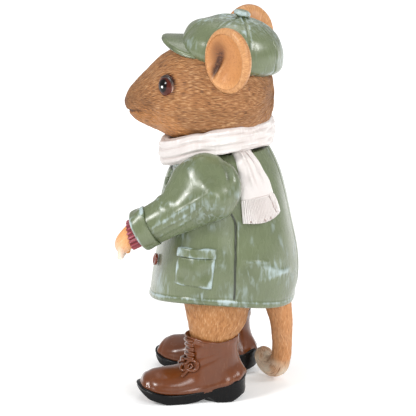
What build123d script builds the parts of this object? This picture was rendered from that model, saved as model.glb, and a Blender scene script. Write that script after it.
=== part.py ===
"""Standing mouse figurine in cap, scarf, coat and boots, a painted cast ornament, in millimetres.

The mouse faces -Y, its left side is +X, up is +Z, and the boots stand on Z = 0.
Every piece is a separate casting, cut to lie on or in the piece that carries it with one glue line between.
"""
from build123d import *
from math import copysign, cos, pi, radians, sin
import os

# Outlines shared by all pieces
outline_steps = 12          # points on each smooth outline
round_squareness = 2.0      # 2 is an ellipse, more is squarer
overrun = 60.0              # how far cutters run past the piece that they cut
seat_gap = 0.15             # glue line between a piece and what carries it

# Levels of the coat, which everything on it and above it follows
coat_foot_z = 38.0          # where the loft starts, below the lowest part of the hem
coat_height = 76.0
coat_trim = 3.6             # cut off the top of the loft, under the scarf
coat_top_z = coat_foot_z + coat_height - coat_trim

# Head: lofted from the nose to the back of the skull
head_length = 66.9
head_height = 48.0
head_half_width = 27.6
nose_tip_y = -39.7
head_lift = 1.0             # from the top of the coat to the lowest part of the head
head_base_z = coat_top_z + head_lift
head_top_z = head_base_z + head_height
# (back from the nose, top, widest level, bottom, half width)
head_shares = [
    (0.010, 0.433, 0.379, 0.329, 0.094),
    (0.033, 0.500, 0.383, 0.275, 0.188),
    (0.078, 0.575, 0.388, 0.213, 0.283),
    (0.145, 0.673, 0.392, 0.163, 0.400),
    (0.235, 0.800, 0.404, 0.117, 0.565),
    (0.324, 0.883, 0.419, 0.071, 0.768),
    (0.444, 0.958, 0.429, 0.025, 0.920),
    (0.593, 1.000, 0.429, 0.000, 1.000),
    (0.743, 0.983, 0.419, 0.033, 0.990),
    (0.862, 0.877, 0.419, 0.096, 0.870),
    (0.952, 0.720, 0.429, 0.175, 0.616),
    (0.988, 0.617, 0.450, 0.283, 0.344),
]
head_end_share = 0.450      # level of the rearmost point
neck_half_width = 17.0
neck_half_depth = 15.0
neck_y = 1.5
neck_sink = 9.4             # how far the neck runs into the coat
neck_reach = 13.6           # how far it runs into the head from there
neck_foot_z = coat_top_z - neck_sink
neck_top_z = coat_top_z + neck_reach
mouth_level_share = 0.296   # its level over the height of the head
mouth_z = head_base_z + head_height * mouth_level_share
mouth_width = 0.9           # height of the mouth groove
mouth_reach = 7.0           # how far back it runs
mouth_rise = 12.0           # degrees that it climbs toward the cheek

# Eyes: glossy balls sunk in the head, each ringed by a lid
eye_radius = 5.2
eye_x = 20.0                # centre of the eye on the surface of the head
eye_y = -18.2
eye_level_share = 0.594
eye_z = head_base_z + head_height * eye_level_share
eye_sink = 3.3              # from that point to the ball's centre
eye_turn = 34.0             # degrees that the eye looks forward of straight sideways
lid_thickness = 0.8
lid_stand = 0.8             # how far the lid stands off the head

# Ears: round dishes with a rolled rim
ear_radius = 14.3
ear_narrow_share = 0.90     # the dish is a little narrower than tall
ear_x = 31.0
ear_y = 10.2
ear_level_share = 0.885
ear_z = head_base_z + head_height * ear_level_share
ear_turn = 35.0
ear_back_depth = 5.2        # how far the back of the ear bulges
ear_rim_radius = 2.3
ear_hollow_depth = 3.2
ear_canal_radius = 3.0
ear_canal_depth = 3.9
ear_canal_share = 0.30      # how far below and before the middle the canal opens

# Cap: eight padded panels that meet at the button, and a curved peak
cap_length = 45.6
cap_half_width = 23.8
cap_rise = 17.0             # from the widest level up to the button
cap_sag = 6.4               # from the widest level down to the band
cap_y = 9.0
cap_drop = 6.5              # from the top of the head down to the cap's widest level
cap_z = head_top_z - cap_drop
cap_tilt = 13.8             # degrees that the cap tips to the back
cap_panels = 8
cap_seam_share = 0.955      # radius at a seam over the radius at the middle of a panel
# (height over the rise or the sag, radius)
cap_shares = [(-1.0, 0.80), (-0.55, 0.955), (0.0, 1.0), (0.30, 0.965), (0.60, 0.815), (0.82, 0.57), (0.95, 0.27)]
cap_top_radius_share = 0.05
cap_button_radius = 3.7
cap_button_height = 3.3
peak_reach = 18.7           # from the peak's own centre to its front edge
peak_half_width = 17.8
peak_y = -4.0
peak_lift = 0.8             # from the top of the head up to the top of the peak
peak_top_z = head_top_z + peak_lift
peak_thickness = 2.2
peak_bend_radius = 22.5     # how tightly its sides droop

# Coat: a tapering bell with its back fuller than its front
coat_front = 27.6
coat_back = 39.0
coat_half_width = 38.8
coat_squareness = 2.1
# (height, front, back, half width)
coat_shares = [
    (0.000, 1.000, 0.940, 0.990),
    (0.079, 0.975, 0.975, 1.000),
    (0.210, 0.920, 1.000, 0.992),
    (0.342, 0.862, 0.972, 0.967),
    (0.526, 0.804, 0.887, 0.902),
    (0.684, 0.764, 0.810, 0.838),
    (0.816, 0.670, 0.741, 0.760),
    (0.921, 0.525, 0.667, 0.644),
    (1.000, 0.362, 0.577, 0.490),
]
hem_lift = 3.2              # from the foot of the loft up to the hem
hem_z = coat_foot_z + hem_lift
hem_radius = 144.0          # the hem rises toward the sides along this arc
hem_tilt = 1.8
hem_wall = 3.2
hem_recess = 3.0
seam_width = 0.8
seam_depth = 0.9
side_seam_y = 14.6
side_seam_drop = 22.4       # from the top of the coat to the top of the side seams
closing_edge_x = -23.5
closing_edge_drop = 24.4    # the closing edge ends under the lapels

# What lies on the coat
collar_thickness = 1.9
collar_drop = 8.8           # from the top of the coat to the front edge of the collar
collar_tilt = 11.5
lapel_thickness = 1.5
# (across, up) from the foot of the lapel to the notch and the collar
lapel_width = 14.5
lapel_height = 18.4
lapel_drop = 27.4           # from the top of the coat to the foot of the lapels
lapel_outline_shares = [(0.04, 0.00), (1.00, 0.62), (0.70, 0.73), (0.96, 0.84), (0.92, 1.00), (0.04, 1.00)]
pocket_thickness = 1.2
pocket_y = -2.9             # middle of the pocket
pocket_drop = 38.8          # from the top of the coat to the top of the pockets
pocket_top_z = coat_top_z - pocket_drop
pocket_width = 15.4
pocket_height = 17.2
pocket_lean_share = 0.16    # the pocket's foot is set forward by this share of its height
pocket_rise_share = 0.14    # its bottom edge drops toward the back of the coat by this share of its width
flap_thickness = 2.0
flap_height = 4.2
flap_overhang = 0.3
button_radius = 2.6
button_height = 1.4
button_dish_radius = 1.5
button_x = 18.4
button_drops = (48.8, 32.4) # from the top of the coat to each row

# Scarf: a folded band round the neck with two hanging ends
scarf_half_width = 25.6
scarf_half_length = 22.6
scarf_y = 2.0
scarf_lift = 2.6            # from the top of the coat to the middle of the band
scarf_z = coat_top_z + scarf_lift
scarf_tilt_rise = 9.8       # how much higher its back lies than its front
scarf_shoulder_rise = 3.0   # how much the shoulders lift its sides
scarf_band_height = 11.4
scarf_band_thickness = 6.4
scarf_stations = 7          # sections from the throat to the nape
# (outward over the thickness, upward over the height) round the folded band
scarf_fold_shares = [
    (-0.50, -0.30), (-0.20, -0.47), (0.22, -0.48), (0.46, -0.33), (0.34, -0.17), (0.52, 0.00),
    (0.38, 0.16), (0.47, 0.31), (0.20, 0.48), (-0.20, 0.46), (-0.50, 0.30), (-0.55, 0.00),
]
scarf_end_thickness = 2.2
# (across, up) round the end that hangs behind the left shoulder
scarf_end_width = 18.3
scarf_end_length = 30.0
scarf_end_drop = 26.4       # from the top of the coat to the foot of the end
scarf_end_foot_z = coat_top_z - scarf_end_drop
scarf_end_left_u = -7.6
scarf_end_turn = 45.0       # degrees from the left side toward the back
scarf_end_shares = [
    (0.09, 1.00), (0.05, 0.76), (0.00, 0.40), (0.03, 0.02), (0.40, 0.01), (0.70, 0.10), (1.03, 0.24),
    (0.85, 0.47), (0.70, 0.70), (0.56, 0.88), (0.53, 1.00),
]
scarf_slit_share = 0.72     # where the slit in the fringe stands across the end
scarf_slit_width = 0.7
scarf_slit_length = 7.0
scarf_front_width = 9.6
scarf_front_length = 22.0
scarf_front_drop = 22.4
scarf_front_x = -19.6

# Sleeves: a padded upper arm that leans in at the shoulder, and a straight forearm
upper_arm_half_thickness = 10.4
upper_arm_half_depth = 14.8
upper_arm_half_length = 16.2
upper_arm_x = 32.6
upper_arm_y = 2.4
upper_arm_drop = 11.0       # from the top of the coat to the middle of the upper arm
upper_arm_z = coat_top_z - upper_arm_drop
upper_arm_lean = 17.0       # degrees that its top leans toward the neck
forearm_half_thickness = 9.2
forearm_half_height = 9.9
forearm_wrist_share = 0.88  # size at the wrist over the size at the elbow
# how far each elbow and wrist lies below the middle of the upper arm
left_elbow_drop = 4.0
left_wrist_drop = 18.8
right_elbow_drop = 5.4
right_wrist_drop = 30.4
left_elbow = (36.0, 5.0, upper_arm_z - left_elbow_drop)
left_wrist = (36.0, -23.4, upper_arm_z - left_wrist_drop)
right_elbow = (-38.5, 9.0, upper_arm_z - right_elbow_drop)
right_wrist = (-45.0, 16.5, upper_arm_z - right_wrist_drop)
cuff_width = 7.3
cuff_lap = 2.2              # how far the turned-up cuff laps back over the sleeve's end
cuff_step = 0.8             # how far it stands off the sleeve
cuff_flare_share = 0.94     # size of its open end over its other end
knit_reach = 3.6            # how far the middle of the knitted cuff shows beyond the sleeve
knit_half_height = 6.2
knit_half_thickness = 6.6
knit_ribs = 18
knit_rib_depth = 0.7
knit_slant = 14.0           # degrees that its end is cut back at the top of the wrist

# Paws: the back of the paw droops from the wrist, and four fingers and a thumb follow it
paw_half_width = 5.1
paw_half_depth = 3.5
paw_half_length = 7.0
paw_wrist_radius = 4.3
paw_root = 4.0              # how far the wrist runs inside the knitted cuff
finger_count = 4
finger_radius = 1.3
finger_pitch = 2.35
finger_length = 5.6
thumb_length = 3.4
thumb_turn = 35.0           # degrees that the thumb stands away from the fingers
left_paw_droop = 66.0       # degrees from the end of the knitted cuff to the fingers
left_paw_roll = 0.0
right_paw_droop = 22.0
right_paw_roll = 90.0       # the right palm faces the thigh

# Legs, with the boots turned out at the toes
leg_x = 22.0
leg_y = 5.0
leg_half_width = 12.6
leg_half_depth = 14.9
leg_foot_z = 19.0
leg_rise = 12.8             # how far the legs run above the hem, inside the coat
leg_top_z = hem_z + leg_rise
# (height, size)
leg_shares = [(0.00, 0.60), (0.14, 0.66), (0.26, 0.76), (0.42, 0.90), (0.62, 0.99), (0.80, 1.00), (1.00, 0.92)]
boot_y = 3.5
boot_toe_out = 12.0
sole_length = 48.6
sole_heel = 14.4            # from the ankle back to the heel
sole_half_width = 12.6
sole_tread_height = 11.4    # thickness at the heel
# (forward from the heel, half width) along the plan of the sole
sole_plan_shares = [(0.00, 0.00), (0.04, 0.50), (0.16, 0.80), (0.38, 0.78), (0.60, 0.95), (0.78, 1.00),
                    (0.92, 0.76), (1.00, 0.00)]
# (forward, up) along the top edge from the heel to the toe
sole_top_shares = [(0.00, 1.02), (0.12, 0.86), (0.34, 0.55), (0.56, 0.41), (0.76, 0.42), (0.90, 0.54), (1.00, 0.68)]
# (forward, up) along the tread from the toe to the heel, with the step in front of the heel
sole_tread_shares = [(1.00, 0.50), (0.90, 0.17), (0.74, 0.00), (0.56, 0.00), (0.46, 0.05), (0.34, 0.22),
                     (0.27, 0.00), (0.12, 0.00), (0.03, 0.16)]
welt_inset = 1.0            # from the edge of the sole to the upper
boot_toe_height = 15.6
boot_foot_z = 3.0
boot_mid_z = 8.0
# (forward from the heel, half width, height of the top)
boot_foot_shares = [(0.03, 0.50, 0.86), (0.12, 0.80, 1.00), (0.30, 0.80, 1.12), (0.50, 0.90, 1.14),
                    (0.64, 0.98, 1.05), (0.78, 0.97, 0.98), (0.90, 0.82, 0.86), (0.965, 0.54, 0.70)]
boot_toe_end_share = 0.99
shaft_height = 30.6
shaft_half_width = 10.4
shaft_front = 12.4
shaft_back = 13.6
# (height, front, back, half width)
shaft_shares = [(0.20, 0.96, 1.00, 0.92), (0.36, 0.97, 0.98, 0.92), (0.56, 0.95, 0.89, 0.90),
                (0.77, 0.91, 0.79, 0.92), (0.91, 0.96, 0.82, 0.98), (1.00, 1.02, 0.87, 1.03)]
rim_radius = 42.0           # the rim dips at the ankles along this arc
rim_low_z = 27.6
tongue_ridge_radius = 1.0   # ridge of the tongue, which joins the laces
lace_radius = 0.9
lace_sides = 6              # the cords are six-sided, which keeps their faces few
lace_reach = 4.6            # from the ridge of the tongue to the end of each lace
lace_bend = 15.0            # degrees that the laces turn back round the shaft
lace_rows = 3
lace_foot_z = 22.4
lace_pitch = 2.4
lace_slant = 7.0            # degrees that each lace climbs, one way and then the other
lace_stand_off = 1.4        # from the front of the shaft's foot to the middle of the laces
bow_loop_radius = 2.3
bow_loop_turn = 20.0        # degrees that the loops droop
bow_z = 20.8
bow_lean = 32.0             # degrees that the bow lies forward along the instep
bow_end_length = 4.2
bow_end_turn = 52.0         # degrees that the loose ends hang outward

# Tail: from the back of the coat down to the floor and round to the right heel
tail_radius = 6.2
# (x, y, z) of the middle of the tail over the three sizes that follow, and its thickness
tail_sway = 16.0
tail_back_y = 31.4
tail_height = 50.0
tail_shares = [
    (0.00, 0.86, 1.00, 1.00), (-0.03, 0.93, 0.82, 1.00), (-0.14, 0.99, 0.62, 0.86), (-0.28, 1.00, 0.42, 0.74),
    (-0.36, 0.985, 0.24, 0.72), (-0.42, 0.94, 0.145, 0.74), (-0.56, 0.86, 0.118, 0.77), (-0.74, 0.775, 0.128, 0.76),
    (-0.92, 0.70, 0.180, 0.60),
]
tail_bend_row = 4           # ring where the tail starts to bend along the floor


def oval(half_width, up, down=None, squareness=round_squareness):
    """Smooth closed outline that reaches up above its axis and down below it."""
    lower = up if down is None else down
    points = []
    for step in range(outline_steps):
        turn = 2 * pi * step / outline_steps
        across, high = cos(turn), sin(turn)
        reach = up if high > 0 else lower
        points.append((half_width * copysign(abs(across) ** (2 / squareness), across),
                       reach * copysign(abs(high) ** (2 / squareness), high)))
    return make_face(Spline(points, periodic=True))


def ball(across, deep, high):
    """Ellipsoid with the given half sizes."""
    return scale(Sphere(1), by=(across, deep, high))


def prism(plane, points, depth=overrun):
    """Straight-sided block over the closed outline through the points."""
    return extrude(plane * make_face(Polyline(points, close=True)), amount=depth)


def placed(centre, facing, upward=(0, 0, 1)):
    """Plane at the centre that faces along a direction, with its own y axis as near to upward as can be."""
    face = Vector(*facing)
    across = Vector(*upward).cross(face)
    return Plane(origin=centre, x_dir=across, z_dir=face)


def mirrored(piece):
    """The same piece on the other side of the figure."""
    return mirror(piece, about=Plane.YZ)


def coat_form(growth=0):
    """Outer form of the coat, grown outward all round by the given distance."""
    sections = []
    for height, front, back, width in coat_shares:
        ahead, behind = coat_front * front + growth, coat_back * back + growth
        centre = Pos(0, (behind - ahead) / 2, coat_foot_z + coat_height * height)
        half_depth = (ahead + behind) / 2
        sections.append(centre * oval(coat_half_width * width + growth, half_depth, squareness=coat_squareness))
    return loft(sections)


def coat_front_point(across, level):
    """Point on the front of the coat, and the direction that the coat faces there."""
    height = (level - coat_foot_z) / coat_height
    below = max(row for row in coat_shares if row[0] <= height)
    above = min(row for row in coat_shares if row[0] > height)
    blend = (height - below[0]) / (above[0] - below[0])
    front, back, width = (low + (high - low) * blend for low, high in zip(below[1:], above[1:]))
    ahead, behind, half_width = coat_front * front, coat_back * back, coat_half_width * width
    half_depth = (ahead + behind) / 2
    rest = (1 - abs(across / half_width) ** coat_squareness) ** (1 / coat_squareness)
    slope = half_depth / half_width * abs(across / half_width / rest) ** (coat_squareness - 1)
    point = (across, (behind - ahead) / 2 - half_depth * rest, level)
    return point, (copysign(slope, across), -1, 0)


def hem_cylinder(lift=0):
    """Large cylinder along Y whose lowest line is the hem, raised by the given distance."""
    centre = Rot(hem_tilt, 0, 0) * Pos(0, 0, hem_z + hem_radius + lift)
    return centre * Rot(90, 0, 0) * Cylinder(hem_radius, 4 * overrun)


def head_form(growth=0):
    """Outer form of the head, grown outward all round by the given distance."""
    nose_level = head_base_z + head_height * head_shares[0][2]
    sections = [Vertex(0, nose_tip_y - growth, nose_level)]
    for back, top, middle, bottom, width in head_shares:
        plane = placed((0, nose_tip_y + head_length * back, head_base_z + head_height * middle), (0, -1, 0))
        sections.append(plane * oval(head_half_width * width + growth, head_height * (top - middle) + growth,
                                     head_height * (middle - bottom) + growth))
    sections.append(Vertex(0, nose_tip_y + head_length + growth, head_base_z + head_height * head_end_share))
    return loft(sections)


def neck_form(growth=0):
    """Oval plug of the neck, which runs from the head down into the coat."""
    foot = Pos(0, neck_y, neck_foot_z - growth) * oval(neck_half_width + growth, neck_half_depth + growth)
    return extrude(foot, amount=neck_top_z - neck_foot_z + growth)


def make_head():
    """Head with its neck, the lids of its eyes, its mouth and the sockets of its eyes."""
    mouth = Pos(0, nose_tip_y, mouth_z) * Rot(mouth_rise, 0, 0) * Box(overrun, 2 * mouth_reach, mouth_width)
    head = head_form() - mouth + neck_form()
    lid = make_lid()
    for feature in (lid, mirrored(lid)):
        head += feature
    for socket in (make_eye(seat_gap), mirrored(make_eye(seat_gap))):
        head -= socket
    return head


def eye_frame():
    """Plane on the surface of the left side of the head that faces the way the eye looks."""
    return placed((eye_x, eye_y, eye_z), (cos(radians(eye_turn)), -sin(radians(eye_turn)), 0))


def make_lid():
    """Rim round the left eye: a larger ball on the same centre, cut flat where it stands off the head."""
    front = Pos(0, 0, lid_stand - overrun / 2) * Box(overrun, overrun, overrun)
    return eye_frame() * (Pos(0, 0, -eye_sink) * Sphere(eye_radius + lid_thickness) & front)


def make_eye(growth=0):
    """Left eye, a ball sunk in the head."""
    return eye_frame() * Pos(0, 0, -eye_sink) * Sphere(eye_radius + growth)


def ear_frame():
    """Plane of the left ear's rim, which faces out and forward."""
    facing = (cos(radians(ear_turn)), -sin(radians(ear_turn)), 0)
    return placed((ear_x, ear_y, ear_z), facing)


def ear_back_form(growth=0):
    """Half of a flattened ball that is the back of the left ear."""
    radius = ear_radius + growth
    back = ball(ear_narrow_share * radius, radius, ear_back_depth + growth)
    return back & Pos(0, 0, (growth - ear_back_depth) / 2) * Box(overrun, overrun, ear_back_depth + 3 * growth)


def make_ear():
    """Left ear: a rolled rim round a dished front, a bulging back and a canal low at the front."""
    tall = ear_radius - ear_rim_radius
    rim = scale(Torus(tall, ear_rim_radius), by=(ear_narrow_share, 1, 1))
    hollow = ball(ear_narrow_share * tall, tall, ear_hollow_depth)
    low = -ear_canal_share * tall
    canal = Pos(low, low, 0) * ball(ear_canal_radius, 2 * ear_canal_radius, ear_canal_depth)
    dish = ear_back_form() + rim - hollow - canal
    return ear_frame() * dish - head_form(seat_gap)


def panelled_outline(half_width, half_length):
    """Cap outline that bulges at the middle of each panel and draws in at each seam."""
    points = []
    for step in range(2 * cap_panels):
        turn = pi * step / cap_panels
        reach = cap_seam_share if step % 2 else 1
        points.append((reach * half_width * cos(turn), reach * half_length * sin(turn)))
    return make_face(Spline(points, periodic=True))


def cap_frame():
    """Level plane of the cap at its widest, tipped to the back."""
    return Pos(0, cap_y, cap_z) * Rot(-cap_tilt, 0, 0)


def crown_form(growth=0):
    """Soft crown of eight padded panels, grown outward by the given distance."""
    sections = []
    for height, radius in cap_shares:
        level = height * (cap_rise if height > 0 else cap_sag)
        half_width, half_length = cap_half_width * radius + growth, cap_length / 2 * radius + growth
        sections.append(Pos(0, 0, level) * panelled_outline(half_width, half_length))
    top = cap_top_radius_share
    sections.append(Pos(0, 0, cap_rise) * panelled_outline(cap_half_width * top, cap_length / 2 * top))
    return cap_frame() * loft(sections)


def make_cap_crown():
    """Crown hollowed to sit on the head, notched where it passes the ears."""
    ear = ear_frame() * ear_back_form(seat_gap)
    return crown_form() - head_form(seat_gap) - ear - mirrored(ear)


def make_cap_button():
    """Covered button that stands on the crown where the panels meet."""
    dome = ball(cap_button_radius, cap_button_radius, cap_button_height)
    upper = Pos(0, 0, cap_button_height / 2) * Box(overrun, overrun, cap_button_height)
    return cap_frame() * Pos(0, 0, cap_rise + seat_gap) * (dome & upper)


def make_cap_peak():
    """Peak bent down at both sides, a slice of a tube cut to a half oval and to the head and the crown."""
    tube = Cylinder(peak_bend_radius, 2 * overrun) - Cylinder(peak_bend_radius - peak_thickness, 2 * overrun)
    shell = Pos(0, 0, peak_top_z - peak_bend_radius) * Rot(90, 0, 0) * tube
    outline = Pos(0, peak_y, peak_top_z - peak_bend_radius) * oval(peak_half_width, peak_reach)
    plan = extrude(outline, amount=overrun)
    front = Pos(0, peak_y - overrun / 2, peak_top_z) * Box(overrun, overrun, overrun)
    return (shell & plan & front) - head_form(seat_gap) - crown_form(seat_gap)


def make_coat():
    """Coat body: raised hem, the recess under it, pressed seams and the sockets of neck, legs and tail."""
    coat = coat_form() & hem_cylinder()
    coat -= Pos(0, 0, coat_top_z + overrun / 2) * Box(2 * overrun, 2 * overrun, overrun)
    coat -= coat_form(-hem_wall) - hem_cylinder(hem_recess)
    coat -= seam_cutters() - coat_form(-seam_depth)
    leg = make_leg(seat_gap)
    for socket in (neck_form(seat_gap), leg, mirrored(leg), tail_root(seat_gap)):
        coat -= socket
    return coat


def seam_cutters():
    """Slabs where the two side seams and the closing edge of the coat run."""
    side_height, front_height = coat_top_z - side_seam_drop, coat_top_z - closing_edge_drop
    sides = Pos(0, side_seam_y, side_height / 2) * Box(4 * overrun, seam_width, side_height)
    front = Pos(closing_edge_x, -overrun / 2, front_height / 2) * Box(seam_width, overrun, front_height)
    return sides + front


def coat_patch(block, thickness):
    """Layer that lies on the coat where the block covers it."""
    return (coat_form(thickness) & block) - coat_form(seat_gap)


def above_collar(gap=0):
    """Everything above the lower edge of the collar, which climbs toward the back."""
    edge = Pos(0, -coat_front, coat_top_z - collar_drop - gap) * Rot(collar_tilt, 0, 0)
    return edge * Pos(0, overrun, overrun / 2) * Box(2 * overrun, 3 * overrun, overrun)


def shoulder_sockets():
    """Both upper arms, grown by the clearance, as cutters for what they pass."""
    shoulder = upper_arm_form(1, seat_gap)
    return shoulder, mirrored(shoulder)


def make_collar():
    """Turned-down collar that shows as a narrow edge under the scarf."""
    front = Pos(0, -overrun / 2, coat_top_z - overrun / 2) * Box(2 * overrun, overrun, overrun)
    collar = coat_patch(above_collar() & front, collar_thickness) - neck_form(seat_gap)
    for shoulder in shoulder_sockets():
        collar -= shoulder
    return collar


def make_lapel():
    """Left lapel, notched below the collar."""
    foot = coat_top_z - lapel_drop
    points = [(lapel_width * across, foot + lapel_height * up) for across, up in lapel_outline_shares]
    return coat_patch(prism(Plane.XZ, points), lapel_thickness) - above_collar(seat_gap)


def pocket_block(top, bottom, growth=0):
    """Block over the left pocket between two levels, measured down from its top edge."""
    half = pocket_width / 2 + growth
    corners = []
    for side, depth in ((-1, top), (1, top), (1, bottom), (-1, bottom)):
        along = pocket_y + side * half - pocket_lean_share * depth
        droop = pocket_rise_share * pocket_width * (side + 1) / 2 * depth / pocket_height
        corners.append((along, pocket_top_z - depth - droop))
    return prism(Plane.YZ, corners)


def make_coat_buttons():
    """Dished coat buttons in two columns, as separate solids."""
    disc = Pos(0, 0, seat_gap + button_height / 2) * Cylinder(button_radius, button_height)
    disc -= Pos(0, 0, button_height) * ball(button_dish_radius, button_dish_radius, button_height / 2)
    cloth = coat_form(seat_gap)
    buttons = []
    for drop in button_drops:
        for side in (-1, 1):
            point, facing = coat_front_point(side * button_x, coat_top_z - drop)
            buttons.append(placed(point, facing) * disc - cloth)
    return Compound(buttons)


def scarf_point(turn):
    """Middle of the scarf band at an angle from the throat, and its outward direction."""
    across, ahead = sin(turn), -cos(turn)
    level = scarf_z + scarf_tilt_rise / 2 * ahead + scarf_shoulder_rise * across ** 2
    return Vector(scarf_half_width * across, scarf_y + scarf_half_length * ahead, level)


def make_scarf_half():
    """Left half of the folded band, from the throat to the nape."""
    sections = []
    for step in range(scarf_stations):
        turn = pi * step / (scarf_stations - 1)
        outward = Vector(scarf_half_length * sin(turn), -scarf_half_width * cos(turn), 0).normalized()
        plane = Plane(origin=scarf_point(turn), x_dir=outward, z_dir=outward.cross(Vector(0, 0, -1)))
        points = [(scarf_band_thickness * out, scarf_band_height * up) for out, up in scarf_fold_shares]
        sections.append(plane * make_face(Spline(points, periodic=True)))
    return loft(sections)


def make_scarf_wrap():
    """Folded band round the neck, hollowed for the head, the collar and the shoulders."""
    half = make_scarf_half()
    band = half + mirrored(half)
    for neighbour in (head_form(seat_gap), coat_form(collar_thickness + seat_gap), *shoulder_sockets()):
        band -= neighbour
    return band


def make_scarf_back_end():
    """End of the scarf that hangs behind the left shoulder, with a slit in its fringe."""
    facing = (cos(radians(scarf_end_turn)), sin(radians(scarf_end_turn)), 0)
    plane = placed((0, 0, scarf_end_foot_z), facing)
    points = [(scarf_end_left_u + scarf_end_width * u, scarf_end_length * v) for u, v in scarf_end_shares]
    slit_u = scarf_end_left_u + scarf_end_width * scarf_slit_share
    slit = plane * Pos(slit_u, 0, overrun / 2) * Box(scarf_slit_width, 2 * scarf_slit_length, overrun)
    block = prism(plane, points) - slit - above_collar(seat_gap)
    return coat_patch(block, scarf_end_thickness) - upper_arm_form(1, seat_gap)


def make_scarf_front_end():
    """Shorter end of the scarf on the right of the chest."""
    left, foot = scarf_front_x - scarf_front_width / 2, coat_top_z - scarf_front_drop
    right, top = left + scarf_front_width, foot + scarf_front_length
    block = prism(Plane.XZ, [(left, foot), (right, foot), (right, top), (left, top)]) - above_collar(seat_gap)
    return coat_patch(block, scarf_end_thickness) - mirrored(upper_arm_form(1, seat_gap))


def arm_frame(elbow, wrist, share=1):
    """Plane across the forearm, some share of the way to the wrist, that faces along it."""
    along = Vector(*wrist) - Vector(*elbow)
    return Plane(origin=Vector(*elbow) + along * share, x_dir=(1, 0, 0), z_dir=along)


def forearm_form(elbow, wrist, growth=0):
    """Tapering forearm from the elbow to the wrist, grown outward by the given distance."""
    sections = []
    for share, size in ((0, 1), (1, forearm_wrist_share)):
        outline = oval(forearm_half_thickness * size + growth, forearm_half_height * size + growth)
        sections.append(arm_frame(elbow, wrist, share) * Pos(0, 0, growth * share) * outline)
    return loft(sections)


def upper_arm_form(side, growth=0):
    """Rounded upper arm on the left side at 1 and on the right side at -1."""
    centre = Pos(side * upper_arm_x, upper_arm_y, upper_arm_z) * Rot(0, -side * upper_arm_lean, 0)
    return centre * ball(upper_arm_half_thickness + growth, upper_arm_half_depth + growth,
                         upper_arm_half_length + growth)


def make_sleeve(elbow, wrist):
    """Sleeve with a rounded shoulder and elbow and a tapering forearm, glued to the side of the coat."""
    return upper_arm_form(copysign(1, elbow[0])) + forearm_form(elbow, wrist) - coat_form(seat_gap)


def make_cuff(elbow, wrist):
    """Turned-up cuff, a raised band that laps over the sleeve and is open at its end."""
    frame = arm_frame(elbow, wrist) * Pos(0, 0, -cuff_lap)
    wide, high = (forearm_wrist_share * size + cuff_step for size in (forearm_half_thickness, forearm_half_height))
    flare = cuff_flare_share
    band = loft([frame * oval(wide, high), frame * Pos(0, 0, cuff_width / 2) * oval(wide, high),
                 frame * Pos(0, 0, cuff_width) * oval(flare * wide, flare * high)])
    band -= forearm_form(elbow, wrist, seat_gap)
    opening = oval(knit_half_thickness + 2 * seat_gap, knit_half_height + 2 * seat_gap)
    band -= extrude(arm_frame(elbow, wrist) * opening, amount=cuff_width)
    return band - coat_form(seat_gap)


def knit_end(elbow, wrist):
    """Slanted plane at the end of the knitted cuff."""
    return arm_frame(elbow, wrist) * Pos(0, 0, cuff_width - cuff_lap + knit_reach) * Rot(-knit_slant, 0, 0)


def make_knit(elbow, wrist):
    """Ribbed knitted cuff that shows beyond the turned-up cuff, with a socket for the paw."""
    points = []
    for step in range(2 * knit_ribs):
        turn = pi * step / knit_ribs
        groove = knit_rib_depth if step % 2 else 0
        points.append(((knit_half_thickness - groove) * cos(turn), (knit_half_height - groove) * sin(turn)))
    outline = arm_frame(elbow, wrist) * Pos(0, 0, 2 * seat_gap) * make_face(Polyline(*points, close=True))
    beyond = knit_end(elbow, wrist) * Pos(0, 0, overrun / 2) * Box(overrun, overrun, overrun)
    depth = paw_root + seat_gap
    socket = knit_end(elbow, wrist) * Pos(0, 0, -depth / 2) * Cylinder(paw_wrist_radius + seat_gap, depth)
    return extrude(outline, amount=2 * cuff_width) - beyond - socket


def make_finger(length):
    """Round-ended finger that runs along its own +Z."""
    return Pos(0, 0, length / 2) * Cylinder(finger_radius, length) + Pos(0, 0, length) * Sphere(finger_radius)


def make_paw(elbow, wrist, droop, roll):
    """Paw that leaves the knitted cuff, bends over by the droop and ends in fingers and a thumb."""
    joint = knit_end(elbow, wrist) * Pos(0, 0, seat_gap) * Rot(0, 0, roll)
    inner = copysign(1, elbow[0])
    back = joint * Rot(droop / 2, 0, 0) * Pos(0, 0, paw_half_length / 2)
    paw = back * ball(paw_half_width, paw_half_depth, paw_half_length)
    knuckles = back * Pos(0, 0, paw_half_length / 2) * Rot(droop / 2, 0, 0)
    for number in range(finger_count):
        across = (number - (finger_count - 1) / 2) * finger_pitch
        paw += knuckles * Pos(across, 0, 0) * make_finger(finger_length)
    thumb = back * Pos(-inner * paw_half_width / 2, -paw_half_depth / 2, 0) * Rot(thumb_turn, 0, 0)
    paw += thumb * make_finger(thumb_length)
    beyond = knit_end(elbow, wrist) * Pos(0, 0, seat_gap + overrun / 2) * Box(overrun, overrun, overrun)
    return (paw & beyond) + joint * Pos(0, 0, -paw_root / 2) * Cylinder(paw_wrist_radius, paw_root)


def make_leg(growth=0):
    """Left leg from inside the boot up into the coat."""
    sections = []
    for height, size in leg_shares:
        level = leg_foot_z - growth + (leg_top_z - leg_foot_z + 2 * growth) * height
        outline = oval(leg_half_width * size + growth, leg_half_depth * size + growth)
        sections.append(Pos(leg_x, leg_y, level) * outline)
    return loft(sections)


def boot_frame():
    """Left ankle on the floor, turned so that the toe points along its own -Y."""
    return Pos(leg_x, boot_y, 0) * Rot(0, 0, boot_toe_out)


def along_sole(share):
    """Place along the boot, from the heel at 0 to the toe at 1, on its own Y axis."""
    return sole_heel - sole_length * share


def sole_top_line():
    """Points on the top edge of the sole in its side view, from the heel to the toe."""
    return [(along_sole(share), sole_tread_height * up) for share, up in sole_top_shares]


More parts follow.
